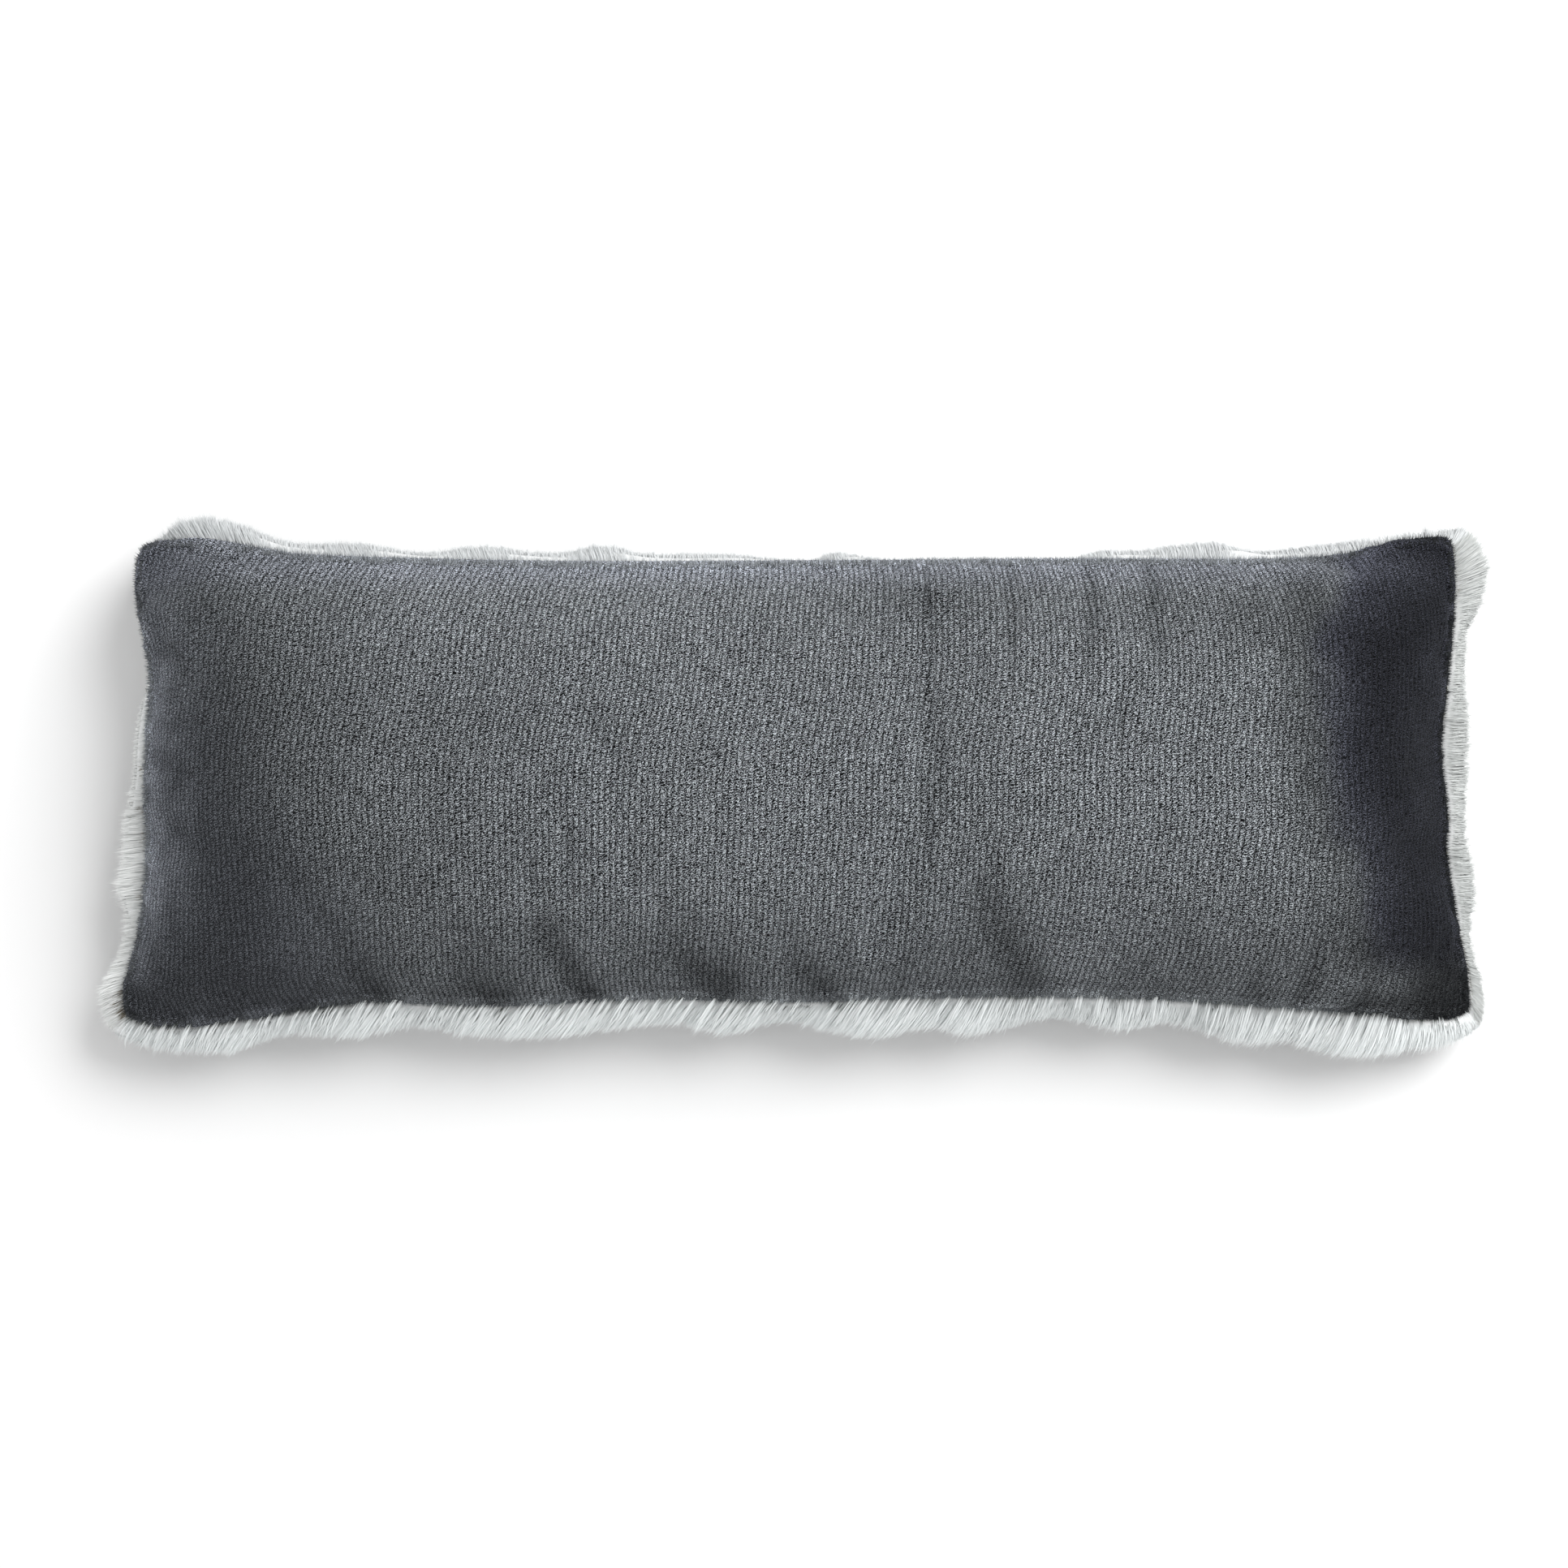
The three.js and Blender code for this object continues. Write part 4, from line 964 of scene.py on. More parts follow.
def hair_lay(s, t, points):
    """For each root: straight out, the hair's lay, its reach past the plush edge and how far out it is."""
    nearest, end, side = nearness(s, t)
    sign_s, sign_t = np.where(s < 0, -1.0, 1.0), np.where(t < 0, -1.0, 1.0)
    out = unit(stack(end * sign_s, side * sign_t, np.zeros_like(s)))
    side_place = np.where(t < 0, LONG_SIDE * (1 + s) / 2, 0.5 + LONG_SIDE * (1 - s) / 2)
    end_place = np.where(s > 0, LONG_SIDE + SHORT_SIDE * (1 + t) / 2, 1 - SHORT_SIDE * (1 + t) / 2)
    end_turn, side_turn = read_table(HAIR_LAY, end_place), read_table(HAIR_LAY, side_place)
    turn = np.radians((end_turn * end + side_turn * side) / (end + side))
    lay = stack(out[:, 0] * np.cos(turn) - out[:, 1] * np.sin(turn),
                out[:, 0] * np.sin(turn) + out[:, 1] * np.cos(turn), np.zeros_like(s))
    x, y = points[:, 0], points[:, 1]
    side_reach = np.where(t < 0, read_table(FUR_BOTTOM, x), read_table(FUR_TOP, x))
    end_reach = np.where(s < 0, read_table(FUR_LEFT, y), read_table(FUR_RIGHT, y))
    reach = np.maximum(0, (side_reach * side + end_reach * end) / (side + end))
    edge_x, edge_y, _, _ = plan_point(lerp(s, sign_s, end), lerp(t, sign_t, side), PLUSH_EDGE)
    outside = (x - edge_x) * out[:, 0] + (y - edge_y) * out[:, 1]
    return out, lay, reach, outside


def rim_places(turn):
    """s and t on the rim for shares of the way round it, anticlockwise from the bottom left corner."""
    along = np.interp(turn % 1, (0, LONG_SIDE, 0.5, 0.5 + LONG_SIDE, 1), (0, 1, 2, 3, 4))
    f = along % 1 * 2 - 1
    side = np.minimum(along.astype(int), 3)
    one = np.ones_like(f)
    return np.choose(side, (f, one, -f, -one)), np.choose(side, (-one, f, one, -f))


def clumps(points, rng):
    """The strands that clumps form round, and for each strand the number of its clump."""
    seeds = rng.permutation(len(points))[:len(points) // CLUMP_STRANDS]
    tree = KDTree(len(seeds))
    for k, seed in enumerate(points[seeds]):
        tree.insert(seed, k)
    tree.balance()
    return seeds, np.array([tree.find(point)[1] for point in points])


def drawn_together(curves, share, shift):
    """Strands whose tips are moved by shift, and the rest of each the less, the nearer its root."""
    return curves + shift[:, None, :] * (share ** CLUMP_PULL["power"])[None, :, None]


def strand_curves(roots, controls, tips, steps):
    """Points along each strand, strands by steps by 3, and the shares of its length that they are at."""
    v = np.linspace(0, 1, steps + 1)[None, :, None]
    roots, controls, tips = (p[:, None, :] for p in (roots, controls, tips))
    points = (1 - v) ** 2 * roots + 2 * v * (1 - v) * controls + v * v * tips
    return points, v[0, :, 0]


def strand_mesh(name, points, share, width, facing, tone, start):
    """Flat tapering strands with one point at the tip, shaded as if they were round."""
    count, steps = points.shape[0], points.shape[1] - 1
    way = unit(np.gradient(points, axis=1))
    side = unit(np.cross(way, facing[:, None, :]))
    normal = unit(np.cross(side, way))
    widening = lerp(TAPER["root"], 1, clamp01(share / TAPER["full"]))
    taper = lerp(1, TAPER["end"], share ** TAPER["power"]) * widening
    half = width[:, None] / 2 * taper[None, :]
    left = points - side * half[..., None]
    right = points + side * half[..., None]
    pairs = np.stack([left[:, :-1], right[:, :-1]], 2).reshape(count, -1, 3)
    vertices = np.concatenate([pairs, points[:, -1:]], 1)
    turned = side[:, :-1] * ROUND_SHADE
    tilt = np.stack([normal[:, :-1] - turned, normal[:, :-1] + turned], 2).reshape(count, -1, 3)
    normals = unit(np.concatenate([tilt, normal[:, -1:]], 1))
    normals = unit(lerp(normals, facing[:, None, :], SOFT_SHADE))
    along = np.concatenate([np.repeat(share[:-1], 2), share[-1:]])
    slim = 0.03
    across = np.concatenate([np.tile([0.0, slim], steps), [slim / 2]])
    uv = np.stack([tone[:, None] * (1 - slim) + across, lerp(start[:, None], 1, along)], -1)
    each = 2 * steps + 1
    first = (np.arange(count) * each)[:, None, None]
    low = np.arange(steps - 1)[:, None] * 2
    quads = (first + np.concatenate([low, low + 1, low + 3, low + 2], 1)[None]).reshape(-1, 4)
    tips = (first + np.array([[each - 3, each - 2, each - 1]])[None]).reshape(-1, 3)
    piece = new_mesh(name, vertices.reshape(-1, 3), [quads, tips])
    set_uv(piece.data, "OFBake", uv.reshape(-1, 2))
    piece.data.normals_split_custom_set_from_vertices(normals.reshape(-1, 3))
    return piece


def fur_material(name, settings, side):
    """Long hair: painted shade at the root, pale past it, each strand a little lighter or darker."""
    material, tree, shader = new_material(name, HAIR_FINISH)
    _, apart = mapped_place(tree, "OFBake")
    tone, along = apart["X"], apart["Y"]
    finish = HAIR_SIDES[side]
    # Colour of the painted root shade, warmer on the left
    root = [lerp(cool, warm, finish["warmth"]) for cool, warm in zip(settings.root_shade_colour, WARM_ROOT_SHADE)]
    # Each side's hair takes its own painted light
    tip = [c * painted_light_tint for c, painted_light_tint in zip(settings.tip_colour, finish["painted_light_tint"])]
    middle = [c * HAIR_SHADE["middle"] for c in tip]
    mixed = lerp(np.array(root), np.array(middle), HAIR_SHADE["root_mix"])
    # A strand with a low tone keeps its painted root shade for longer
    ragged = times_plus(tree, tone, finish["ragged"], along)
    place = math_node(tree, "SUBTRACT", ragged, finish["ragged"] / 2)
    colour = ramp(tree, place, (0.0, root), (finish["dark"], mixed),
                  (finish["dark"] + HAIR_SHADE["soft"], middle), (HAIR_SHADE["tip_from"], tip))
    paint(tree, shader, colour, times_plus(tree, tone, HAIR_SHADE["tone"], HAIR_SHADE["level"]))
    return material


def skin_material(settings):
    """Dense short undercoat of the fur: painted shade in notches along the seam, pale past them."""
    material, tree, shader = new_material("fur_undercoat", COAT_FINISH)
    out = point_value(tree, "out")
    streak_place = add_node(tree, "ShaderNodeCombineXYZ", {
        "X": math_node(tree, "DIVIDE", point_value(tree, "comb"), COAT_STREAK["width"]),
        "Y": math_node(tree, "DIVIDE", out, COAT_STREAK["length"])}).outputs["Vector"]
    hair = noise(tree, streak_place, 1.0, 2.0)
    past = math_node(tree, "DIVIDE", out, point_value(tree, "dark"))
    colour = ramp(tree, past, (COAT_ROOT_SHARE, settings.root_shade_colour), (1.0, settings.tip_colour))
    level = times_plus(tree, hair, COAT_STREAK["light"], COAT_STREAK["level"])
    # Its light holds each side's painted light and the painted shade under the plush
    paint(tree, shader, colour, times(tree, level, point_value(tree, "light")))
    emboss(tree, shader, COAT_STREAK["strength"], COAT_STREAK["height"], hair)
    return material


def pile_material(settings):
    """Single tufts of pile: u is their light, with the plush's painted light and shade, v runs from root to
    tip.
    """
    material, tree, shader = new_material("plush_pile", PILE_FINISH)
    _, apart = mapped_place(tree, "OFBake")
    level = times(tree, apart["X"], times_plus(tree, apart["Y"], PILE["tip_level"], PILE["root_level"]))
    paint(tree, shader, settings.colour, times(tree, level, PILE["most_light"]))
    return material


class PlushSettings(bpy.types.PropertyGroup):
    """Sizes and finish of the filled plush cushion."""

    seam_height: FloatProperty(
        name="Seam height", description="Height of the seam in the middle of each side",
        default=60 * MM, min=10 * MM, unit="LENGTH")
    crown_height: FloatProperty(
        name="Crown height", description="Height of the plush face above its own edge",
        default=80 * MM, min=10 * MM, unit="LENGTH")
    rib_count: IntProperty(
        name="Ribs", description="Ribs along the pillow", default=230, min=20, max=400)
    rib_height: FloatProperty(
        name="Rib height", description="How far a rib stands out", default=0.5 * MM, min=0, unit="LENGTH")
    nub_height: FloatProperty(
        name="Nub height", description="How far the tufts of the pile stand out", default=0.8 * MM, min=0,
        unit="LENGTH")
    nub_strength: FloatProperty(
        name="Nub strength", description="How strongly the tufts stand out in the light", default=0.7,
        min=0, max=1, subtype="FACTOR")
    cloth_spare: FloatProperty(
        name="Spare cloth", description="Share of spare length that the simulated cloth puckers with",
        default=0.03, min=0, max=0.2, subtype="FACTOR")
    pucker_limit: FloatProperty(
        name="Pucker limit", description="How far the simulation may move the cloth", default=3 * MM,
        min=0, unit="LENGTH")
    fill: FloatProperty(
        name="Fill", description="How tightly the cushion is filled", default=0.75, min=0, max=1,
        subtype="FACTOR")
    colour: FloatVectorProperty(
        name="Plush colour", description="Colour of the pile over the middle of the pillow",
        default=(0.113, 0.121, 0.128), size=3, min=0, max=1, subtype="COLOR")
    # Colour of the painted sheen
    painted_sheen_colour: FloatVectorProperty(
        name="Bloom colour", description="Colour of the pile where it is seen from its side",
        default=(0.108, 0.114, 0.146), size=3, min=0, max=1, subtype="COLOR")


class FurSettings(bpy.types.PropertyGroup):
    """Sizes and finish of the faux fur."""

    strands: IntProperty(
        name="Strands", description="Strands round the sides of the pillow", default=70000, min=100)
    strands_under: IntProperty(
        name="Strands underneath", description="Strands pressed under the pillow", default=21000, min=100)
    hair_length: FloatProperty(
        name="Hair length", description="Length of the long hair", default=29 * MM, min=2 * MM,
        unit="LENGTH")
    strand_width: FloatProperty(
        name="Strand width", description="Width of a strand at its root", default=0.54 * MM,
        min=0.05 * MM, unit="LENGTH")
    tip_colour: FloatVectorProperty(
        name="Hair colour", description="Colour of the hair past its root", default=(0.95, 0.965, 0.965),
        size=3, min=0, max=1, subtype="COLOR")
    # Colour of the painted shade at the hair's root
    root_shade_colour: FloatVectorProperty(
        name="Root colour", description="Colour of the hair at its root", default=(0.055, 0.065, 0.058),
        size=3, min=0, max=1, subtype="COLOR")


KEY_PLACE = (1.95, 1.9, 2.75)
KEY_SIZE = 2.9
SENSOR_MM = 36.0
FLOOR_HALF = 6.0


class StageSettings(bpy.types.PropertyGroup):
    """Camera, floor and light."""

    camera_height: FloatProperty(
        name="Camera height", description="Height of the camera above the seam", default=2.3, min=0.5,
        unit="LENGTH")
    view_width: FloatProperty(
        name="View width", description="Width of the picture at the seam's height", default=1.018,
        min=0.1, unit="LENGTH")
    key_power: FloatProperty(
        name="Key light", description="Power of the large light from the upper right", default=150.0,
        min=0, unit="POWER")
    sky_strength: FloatProperty(
        name="Surrounding light", description="Strength of the even light from all round", default=0.71,
        min=0)
    floor_colour: FloatVectorProperty(
        name="Floor colour", description="Colour of the plain floor", default=(0.9, 0.9, 0.9), size=3,
        min=0, max=1, subtype="COLOR")


class PILLOW_OT_stage(bpy.types.Operator):
    """Makes the camera above the pillow, the plain floor and the soft light"""

    bl_idname = "pillow.stage"
    bl_label = "Camera, Floor and Light"

    def execute(self, context):
        settings = context.scene.pillow_stage
        seam = context.scene.pillow_plush.seam_height
        shift = frame_shift()
        data = bpy.data.cameras.new("camera")
        data.sensor_width = SENSOR_MM
        data.lens = SENSOR_MM * settings.camera_height / settings.view_width
        camera = bpy.data.objects.new("camera", data)
        camera.location = (shift[0], shift[1], seam + settings.camera_height)
        context.scene.collection.objects.link(camera)
        context.scene.camera = camera
        square = np.array([(-1, -1, 0), (1, -1, 0), (1, 1, 0), (-1, 1, 0)]) * FLOOR_HALF
        floor = new_mesh("floor", square, [np.array([[0, 1, 2, 3]])], smooth=False)
        material, _, shader = new_material("pale_floor", FLOOR_FINISH)
        shader.inputs["Base Color"].default_value = (*settings.floor_colour, 1)
        floor.data.materials.append(material)
        self.add_light(context, "key_light", KEY_PLACE, KEY_SIZE, settings.key_power)
        world = bpy.data.worlds.new("soft_surround")
        world.use_nodes = True
        background = next(n for n in world.node_tree.nodes if n.type == "BACKGROUND")
        background.inputs["Color"].default_value = (1, 1, 1, 1)
        background.inputs["Strength"].default_value = settings.sky_strength
        context.scene.world = world
        context.scene.view_settings.view_transform = "Standard"
        return {"FINISHED"}

    def add_light(self, context, name, place, size, power):
        data = bpy.data.lights.new(name, "AREA")
        data.shape = "DISK"
        data.size = size
        data.energy = power
        light = bpy.data.objects.new(name, data)
        light.location = place
        light.rotation_mode = "QUATERNION"
        light.rotation_quaternion = (-Vector(place)).to_track_quat("-Z", "Y")
        context.scene.collection.objects.link(light)


class PILLOW_OT_plush(bpy.types.Operator):
    """Makes the filled plush cushion with its ribs, rolled edges and troughs"""

    bl_idname = "pillow.plush"
    bl_label = "Plush Cushion"

    def execute(self, context):
        settings = context.scene.pillow_plush
        columns = settings.rib_count * COLUMNS_A_RIB
        t = even_turn(PLUSH_ROWS)
        s = rib_places(t, columns)
        grid_t = np.broadcast_to(t[:, None], s.shape)
        base = plush_point(s, grid_t)
        normals = grid_normals(base)
        base = base + normals * read_grid(s, grid_t, *simulated_puckers(settings))[..., None]
        phase = np.arange(columns + 1) / COLUMNS_A_RIB
        ridge = np.sin(phase * math.pi) ** 2 * settings.rib_height
        face = base + normals * ridge[None, :, None]
        # Roll of the cloth down to the seam, then the belly in rings towards its middle
        loop = grid_loop(columns, PLUSH_ROWS)
        edge = base.reshape(-1, 3)[loop]
        edge_s, edge_t = s.ravel()[loop], grid_t.ravel()[loop]
        ahead = np.roll(edge, -EDGE_REACH, 0) - np.roll(edge, EDGE_REACH, 0)
        out = unit(np.cross(ahead * (1, 1, 0), UP))
        tuck, rise = by_side(SEAM_TUCK, edge_s, edge_t), by_side(ROLL_RISE, edge_s, edge_t)
        edge_ridge = np.tile(ridge, PLUSH_ROWS + 1)[loop]
        rings = []
        for k in range(1, ROLL_RINGS + 1):
            angle = k / ROLL_RINGS * math.pi / 2
            way = out * math.cos(angle) - UP * math.sin(angle)
            inward, down = tuck * (math.cos(angle) - 1), rise * math.sin(angle)
            ring = edge + out * inward[:, None] - UP * down[:, None]
            rings.append(ring + way * (edge_ridge * (1 - k / ROLL_RINGS))[:, None])
        for share in BELLY_RINGS:
            rings.append(belly_point(edge_s * share, edge_t * share))
        centre = belly_point(np.zeros(1), np.zeros(1))
        points = np.concatenate([face.reshape(-1, 3), *rings, centre])
        turn = len(loop)
        numbers = [loop] + [s.size + k * turn + np.arange(turn) for k in range(len(rings))]
        quads = np.concatenate([grid_quads(columns, PLUSH_ROWS), *ring_quads(numbers)])
        fan = np.stack([numbers[-1], np.full(turn, len(points) - 1), np.roll(numbers[-1], -1)], -1)
        piece = new_mesh("plush_cushion", points + frame_shift(), [quads, fan])
        self.add_maps(piece.data, points, s, rings, settings)
        piece.data.materials.append(plush_material(settings))
        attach(piece, BODY)
        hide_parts(PLUSH_NODE)
        return {"FINISHED"}

    def add_maps(self, mesh, points, s, rings, settings):
        """Rib coordinates in metres, the OFBake map, and the pile's painted light and shade, painted sheen
        and lie.
        """
        number = np.broadcast_to(np.arange(s.shape[1]) / COLUMNS_A_RIB * rib_pitch(settings), s.shape)
        face = points[:s.size].reshape(*s.shape, 3)
        length = np.linalg.norm(np.diff(face, axis=0), axis=-1).cumsum(0)
        length = np.concatenate([np.zeros((1, s.shape[1])), length])
        ribs = np.stack([number, length - length[len(length) // 2]], -1).reshape(-1, 2)
        loop = grid_loop(s.shape[1] - 1, s.shape[0] - 1)
        ring_ribs = [ribs[loop] * (1, 1 + RING_MAP_STEP * (k + 1)) for k in range(len(rings))]
        set_uv(mesh, "ribs", np.concatenate([ribs, *ring_ribs, np.zeros((1, 2))]))
        low, high = points.min(0), points.max(0)
        set_uv(mesh, "OFBake", (points[:, :2] - low[:2]) / (high[:2] - low[:2]))
        x, y = points[:, 0], points[:, 1]
        set_values(mesh, nap=nap_tone(x, y), **nap_look(x, y))


class PILLOW_OT_plush_pile(bpy.types.Operator):
    """Stands single tufts of pile up along the edges of the plush"""

    bl_idname = "pillow.plush_pile"
    bl_label = "Plush Pile"

    def execute(self, context):
        settings = context.scene.pillow_plush
        rng = np.random.default_rng(SEEDS["pile"])
        count = PILE["count"]
        rim_s, rim_t = rim_places(rng.random(count))
        s, t = moved_in(rim_s, rim_t, PILE["band"] * rng.random(count) ** PILE["crowd"])
        root = plush_point(s, t)
        out = hair_lay(s, t, root)[0]
        scattered = rng.normal(0, PILE["scatter"], (count, 3))
        way = unit(slope_normal(plush_point, s, t) + out * PILE["lean"] + scattered)
        length = PILE["length"] * rng.uniform(*PILE["lengths"], count)[:, None]
        side = unit(np.cross(way, rng.normal(size=(count, 3))))
        other = np.cross(way, side)
        root = root - way * PILE["sunk"]
        corners = [root + (side * math.cos(a) + other * math.sin(a)) * (PILE["width"] / 2)
                   for a in np.arange(3) / 3 * FULL_TURN]
        points = np.stack([*corners, root + way * (length + PILE["sunk"])], 1).reshape(-1, 3)
        first = (np.arange(count) * 4)[:, None, None]
        faces = (first + np.array([[[0, 1, 3], [1, 2, 3], [2, 0, 3]]])).reshape(-1, 3)
        piece = new_mesh("plush_pile", points + frame_shift(), [faces])
        # On the OFBake map each tuft has a narrow strip of its own, from root to tip
        # Each tuft takes the painted light and shade of the plush at its root, times a light of its own
        light = nap_tone(root[:, 0], root[:, 1]) * rng.uniform(*PILE["light"], count) / PILE["most_light"]
        u = clamp01(light)[:, None] * (1 - 3 * TUFT_STRIP) + TUFT_STRIP * np.array([0, 1, 2, 1])
        uv = np.stack([u, np.broadcast_to([0.0, 0.0, 0.0, 1.0], u.shape)], -1)
        set_uv(piece.data, "OFBake", uv.reshape(-1, 2))
        piece.data.materials.append(pile_material(settings))
        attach(piece, BODY)
        return {"FINISHED"}


class PILLOW_OT_fur_skin(bpy.types.Operator):
    """Makes the skin of the fur back, wrapped under the filling up to the seam"""

    bl_idname = "pillow.fur_skin"
    bl_label = "Fur Skin"

    def execute(self, context):
        columns, rows = SKIN_COLUMNS, SKIN_ROWS
        s, t = np.meshgrid(even_turn(columns), even_turn(rows))
        outer = skin_point(s, t)
        inner = belly_point(s, t) - UP * SKIN_GAP
        inner[..., 2] = np.maximum(inner[..., 2], outer[..., 2] + SKIN_GAP)
        loop = grid_loop(columns, rows)
        edge_s, edge_t = s.ravel()[loop], t.ravel()[loop]
        count, turn = s.size, len(loop)
        crest = [crest_point(edge_s, edge_t, np.full(turn, k / CREST_STEPS)) for k in range(CREST_STEPS + 1)]
        inner.reshape(-1, 3)[loop], *band, outer.reshape(-1, 3)[loop] = crest
        points = np.concatenate([inner.reshape(-1, 3), outer.reshape(-1, 3), *band])
        rings = [loop, *(2 * count + k * turn + np.arange(turn) for k in range(len(band))), count + loop]
        quads = [grid_quads(columns, rows), grid_quads(columns, rows, first=count)[:, ::-1]]
        piece = new_mesh("fur_skin", points + frame_shift(), quads + ring_quads(rings))
        self.add_coat(piece.data, points, rings, edge_s, edge_t)
        piece.data.materials.append(skin_material(context.scene.pillow_fur))
        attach(piece, BODY)
        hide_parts(FUR_NODE)
        return {"FINISHED"}

    def add_coat(self, mesh, points, rings, edge_s, edge_t):
        """Distance from the seam, how far out the undercoat has painted root shade, its painted light and
        shade, and the hair's slant.
        """
        seam = points[rings[0]]
        round_rim = np.linalg.norm(np.diff(seam[:, :2], axis=0, append=seam[:1, :2]), axis=1).cumsum()
        straight, lay, reach, _ = hair_lay(edge_s, edge_t, seam)
        slant = (straight[:, 0] * lay[:, 1] - straight[:, 1] * lay[:, 0]) / dot(straight, lay)
        least, more = NOTCH["coat_dark"]
        edge_dark = by_side(COAT["dark"], edge_s, edge_t) * (least + more * notches(seam[:, 0], seam[:, 1]))
        # Painted shade where the plush reaches over the undercoat, and each side's painted light
        shade = lerp(COAT_SHADE["least"], 1, smoothstep(0, COAT_SHADE["reach"], reach))
        shaded = by_side(COAT["light"], edge_s, edge_t) * shade
        out = np.ones(len(points))
        dark = np.full(len(points), COAT["dark"]["bottom"])
        light = np.full(len(points), COAT["light"]["bottom"])
        comb = points[:, 0].copy()
        for ring in rings:
            out[ring] = np.linalg.norm((points[ring] - seam)[:, :2], axis=1)
            comb[ring] = round_rim - out[ring] * slant
            dark[ring] = edge_dark
            light[ring] = shaded
        set_values(mesh, out=out, comb=comb, dark=dark, light=light)


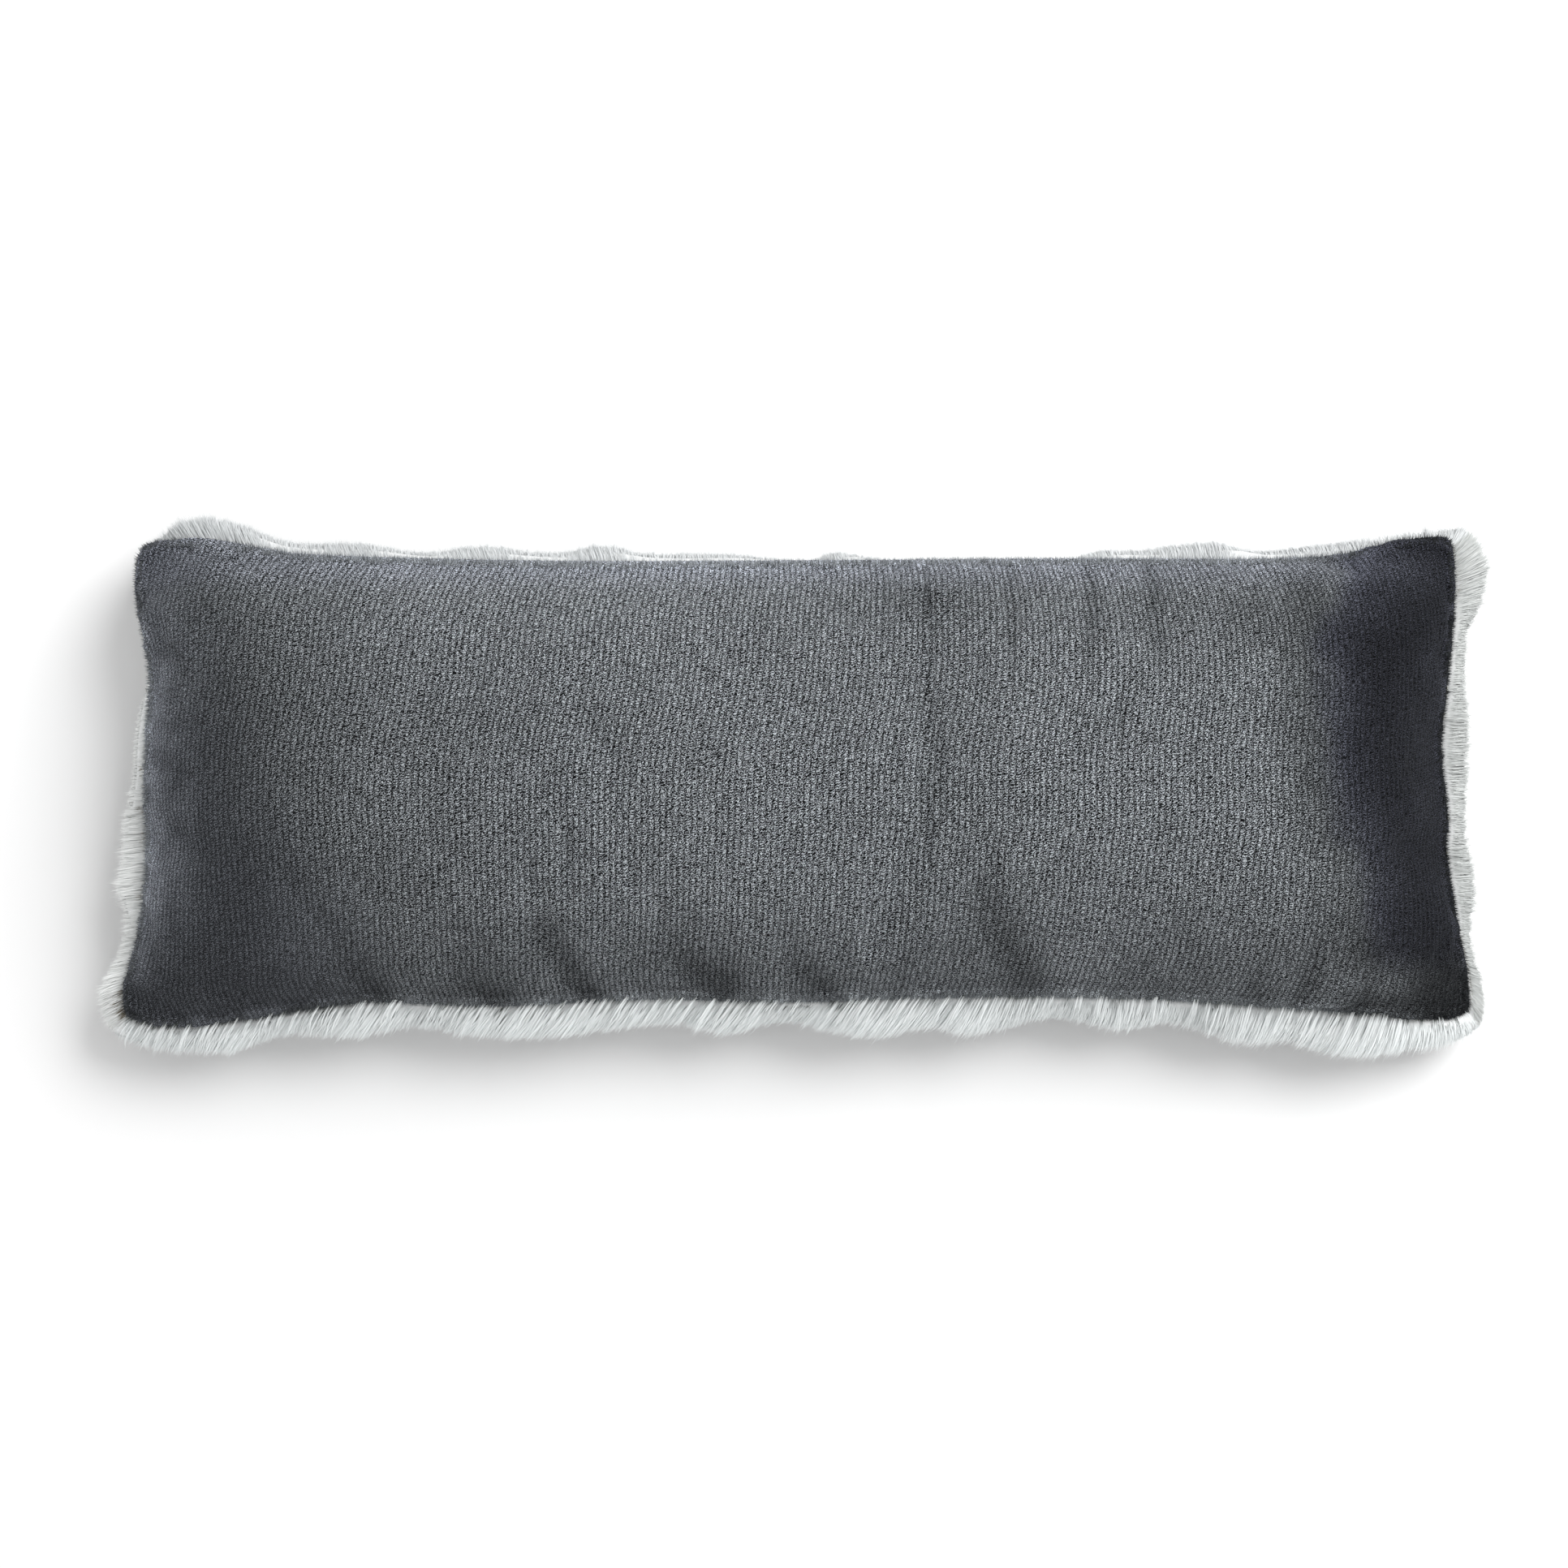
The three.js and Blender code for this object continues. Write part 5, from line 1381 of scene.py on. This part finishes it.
class PILLOW_OT_fur_hair(bpy.types.Operator):
    """Grows the long hair round the sides and under the pillow, one piece for each side"""

    bl_idname = "pillow.fur_hair"
    bl_label = "Long Hair"

    def execute(self, context):
        settings = context.scene.pillow_fur
        rng = np.random.default_rng(SEEDS["hair"])
        roots = self.side_roots(settings.strands, rng)
        names = self.sides_of(roots["s"], roots["t"])
        curves, width, facing, tone, start = self.side_strands(settings, rng, roots)
        share = np.linspace(0, 1, SEGMENTS["side"] + 1)
        for side in ("bottom", "right", "top", "left"):
            mine = names == side
            looks = (field[mine] for field in (width, facing, tone, start))
            self.add_piece(settings, side, curves[mine], share, *looks)
        self.under_strands(settings, rng)
        return {"FINISHED"}

    def add_piece(self, settings, side, curves, share, width, facing, tone, start):
        piece = strand_mesh("fur_hair_" + side, curves + frame_shift(), share, width, facing, tone, start)
        piece.data.materials.append(fur_material("fur_hair_" + side, settings, side))
        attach(piece, BODY)

    def sides_of(self, s, t):
        _, end, side = nearness(s, t)
        ends = np.where(s < 0, "left", "right")
        return np.where(end > side, ends, np.where(t < 0, "bottom", "top"))

    def side_roots(self, count, rng):
        """Roots on the band over the crest, and on the skin's sides as far in as the side hair grows."""
        crest_count = int(count * CREST_SHARE_OF_HAIR)
        turn = np.sort(rng.random(crest_count))
        tufts = int(2 * sum(plush_size()) / TUFT["space"])
        tuft = np.rint(turn * tufts).astype(int) % tufts
        tuft_turn = (np.arange(tufts) + rng.uniform(-TUFT["uneven"], TUFT["uneven"], tufts)) / tufts
        off = (tuft_turn[tuft] - turn + 0.5) % 1 - 0.5
        rim_s, rim_t = rim_places(turn)
        names = self.sides_of(rim_s, rim_t)
        gather = np.array([HAIR_SIDES[name]["gather"] for name in names])
        gather = gather * rng.uniform(*TUFT["gather"], tufts)[tuft]
        share = rng.random(crest_count) ** TUFT["root_power"]
        spread = crest_point(rim_s, rim_t, share)
        gathered_s, gathered_t = rim_places(turn + off * gather)
        gathered = crest_point(gathered_s, gathered_t, share)
        out = hair_lay(rim_s, rim_t, spread)[0]
        over = rng.random(tufts)[tuft] < np.array([OVERLAP["share"][name] for name in names])
        over = over & (share < OVERLAP["deep"])
        inset = OVERLAP["in"] * rng.uniform(0, 1, tufts)[tuft]
        climbed = plush_point(*moved_in(gathered_s, gathered_t, inset)) + (UP + out) * OVERLAP["clear"]
        gathered = np.where(over[:, None], climbed, gathered)
        side_s, side_t = scatter(skin_point, lambda s, t: nearness(s, t)[0] < SIDE_DEPTH,
                                 count - crest_count, rng)
        under = skin_point(side_s, side_t)
        none = np.zeros(count - crest_count, bool)
        both = {
            "s": (rim_s, side_s), "t": (rim_t, side_t), "root": (gathered, under), "spread": (spread, under),
            "normal": (unit(out * share[:, None] + UP), -slope_normal(fur_point, side_s, side_t)),
            "crest": (np.ones(crest_count, bool), none), "over": (over, none),
        }
        return {name: np.concatenate(parts) for name, parts in both.items()}

    def side_strands(self, settings, rng, roots):
        """Curves, widths, facings, tones and starts of the strands round the sides."""
        count = len(roots["s"])
        spread, crest, over = roots["spread"], roots["crest"], roots["over"]
        out, lay, reach, outside = hair_lay(roots["s"], roots["t"], spread)
        seeds, clump = clumps(spread, rng)
        alone = rng.random(count) < FLYAWAY["share"]
        chance = lerp(*STRAND["reach"], rng.random(len(seeds)))[clump]
        chance = chance + rng.normal(0, STRAND["reach_noise"], count)
        chance = np.where(alone, chance + FLYAWAY["more_reach"], chance)
        length = settings.hair_length * rng.uniform(*STRAND["length"], count)
        # Flat as far as the side's outline lets it, and hanging by what is left of its length
        room = np.maximum(LEAST_ROOM, reach * chance - outside)
        flat = np.minimum(length * MOST_FLAT, room / np.maximum(dot(lay, out), LEAST_OUT))
        rise, least, more = (np.where(crest, CREST_HAIR[k], SIDE_HAIR[k])
                             for k in ("rise", "least_drop", "more_drop"))
        drop = (least + more * rng.random(len(seeds))[clump]) * length
        drop = np.maximum(drop, np.sqrt(np.maximum(length ** 2 - flat ** 2, 0)) * HANG_SHARE)
        tips = spread + lay * flat[:, None] - UP * drop[:, None]
        bend, bend_drop = flat * STRAND["bend_at"], drop * STRAND["bend_drop"]
        controls = roots["root"] + lay * bend[:, None] - UP * bend_drop[:, None]
        rise = np.where(over, OVERLAP["rise"], rise)
        bend_out = length * STRAND["bend_out"]
        controls += UP * (rise * flat * 2)[:, None] + roots["normal"] * bend_out[:, None]
        calm = np.where(over, OVERLAP["noise_share"], 1)[:, None]
        controls += rng.normal(0, STRAND["bend_noise"], (count, 3)) * calm
        tips += rng.normal(0, STRAND["tip_noise"], (count, 3))
        pull = lerp(CLUMP_PULL["least"], CLUMP_PULL["most"], rng.random(len(seeds)))[clump]
        pull = np.where(alone, 0, pull)
        curves, share = strand_curves(roots["root"], controls, tips, SEGMENTS["side"])
        curves = drawn_together(curves, share, (tips[seeds][clump] - tips) * pull[:, None])
        lowest = lerp(*FLOOR_CLEARANCE, rng.random(count) ** 2)
        curves[..., 2] = np.maximum(curves[..., 2], lowest[:, None])
        width = settings.strand_width * rng.uniform(*STRAND["width"], count)
        width = width * np.where(alone, FLYAWAY["width"], 1)
        turned = rng.normal(0, STRAND["facing_noise"], (count, 3))
        facing = unit(roots["normal"] + UP * STRAND["facing_up"] + turned)
        tone = STRAND["tone"] + STRAND["clump_tone"] * rng.normal(size=len(seeds))[clump]
        tone = tone + STRAND["tone_noise"] * rng.normal(size=count)
        tone = clamp01(np.where(over, tone + OVERLAP["tone"] - STRAND["tone"], tone))
        # Strands in a notch are darkened with painted shade
        notch = notches(spread[:, 0], spread[:, 1]) * crest
        tone = clamp01(tone - NOTCH["tone"] * np.where(over, 0, notch))
        least_dark, more_dark = NOTCH["hair_dark"]
        dark = by_side(COAT["dark"], roots["s"], roots["t"]) * (least_dark + more_dark * notch)
        past = smoothstep(PALE_START["from"], PALE_START["to"], outside / dark)
        return curves, width, facing, tone, PALE_START["share"] * past * crest

    def under_strands(self, settings, rng):
        """Hair pressed flat between the skin and the surface under the pillow."""
        hair = UNDER_HAIR
        count = settings.strands_under
        s, t = scatter(skin_point, lambda s, t: nearness(s, t)[0] > SIDE_DEPTH * hair["from"], count, rng)
        roots = skin_point(s, t)
        lay = hair_lay(s, t, roots)[1]
        close = np.exp(-nearness(s, t)[0] / SIDE_DEPTH)[:, None]
        lay = lay * close + FLAT_LAY * (1 - close)
        length = settings.hair_length * hair["length"] * rng.uniform(*hair["lengths"], count)
        seeds, clump = clumps(roots, rng)
        stray = rng.normal(0, hair["clump_stray"], (len(seeds), 3))[clump]
        stray = stray + rng.normal(0, hair["stray"], (count, 3))
        lay = unit(lay + stray * (1, 1, 0))
        tips = roots + lay * length[:, None]
        controls = roots + lay * (length * hair["bend_at"])[:, None]
        controls = controls - slope_normal(fur_point, s, t) * hair["bend_out"]
        tips[:, 2] = lerp(hair["lowest"], hair["highest"], rng.random(count) ** hair["low_power"])
        controls[:, 2] = np.minimum(controls[:, 2], tips[:, 2] + hair["bend_rise"])
        curves, share = strand_curves(roots, controls, tips, SEGMENTS["under"])
        curves = drawn_together(curves, share, (tips[seeds][clump] - tips) * (1, 1, 0) * hair["pull"])
        curves[..., 2] = np.maximum(curves[..., 2], hair["lowest"])
        width = settings.strand_width * hair["width"] * rng.uniform(*STRAND["width"], count)
        facing = unit(-UP + rng.normal(0, STRAND["facing_noise"], (count, 3)))
        tone = hair["tone"] + hair["clump_tone"] * rng.normal(size=len(seeds))[clump]
        tone = clamp01(tone + hair["tone_noise"] * rng.normal(size=count))
        self.add_piece(settings, "under", curves, share, width, facing, tone, np.zeros(count))


class PILLOW_PT_panel(bpy.types.Panel):
    """Lists the pillow's sizes and the steps that build it"""

    bl_idname = "PILLOW_PT_panel"
    bl_label = "Pillow"
    bl_space_type = "VIEW_3D"
    bl_region_type = "UI"
    bl_category = "Pillow"

    def draw(self, context):
        for group in ("pillow_stage", "pillow_plush", "pillow_fur"):
            settings = getattr(context.scene, group)
            box = self.layout.box()
            for name in settings.__annotations__:
                box.prop(settings, name)
        for step in STEPS:
            self.layout.operator(step.bl_idname)


STEPS = (
    PILLOW_OT_stage, PILLOW_OT_plush, PILLOW_OT_plush_pile, PILLOW_OT_fur_skin, PILLOW_OT_fur_hair,
)
GROUPS = {"pillow_plush": PlushSettings, "pillow_fur": FurSettings, "pillow_stage": StageSettings}


def register():
    for name, group in GROUPS.items():
        bpy.utils.register_class(group)
        setattr(bpy.types.Scene, name, PointerProperty(type=group))
    for cls in (*STEPS, PILLOW_PT_panel):
        bpy.utils.register_class(cls)


def unregister():
    for cls in (PILLOW_PT_panel, *reversed(STEPS)):
        bpy.utils.unregister_class(cls)
    for name, group in GROUPS.items():
        delattr(bpy.types.Scene, name)
        bpy.utils.unregister_class(group)


def main():
    register()
    bpy.ops.pillow.stage()
    bpy.ops.pillow.plush()
    bpy.ops.pillow.plush_pile()
    bpy.ops.pillow.fur_skin()
    bpy.ops.pillow.fur_hair()


if __name__ == "__main__":
    main()
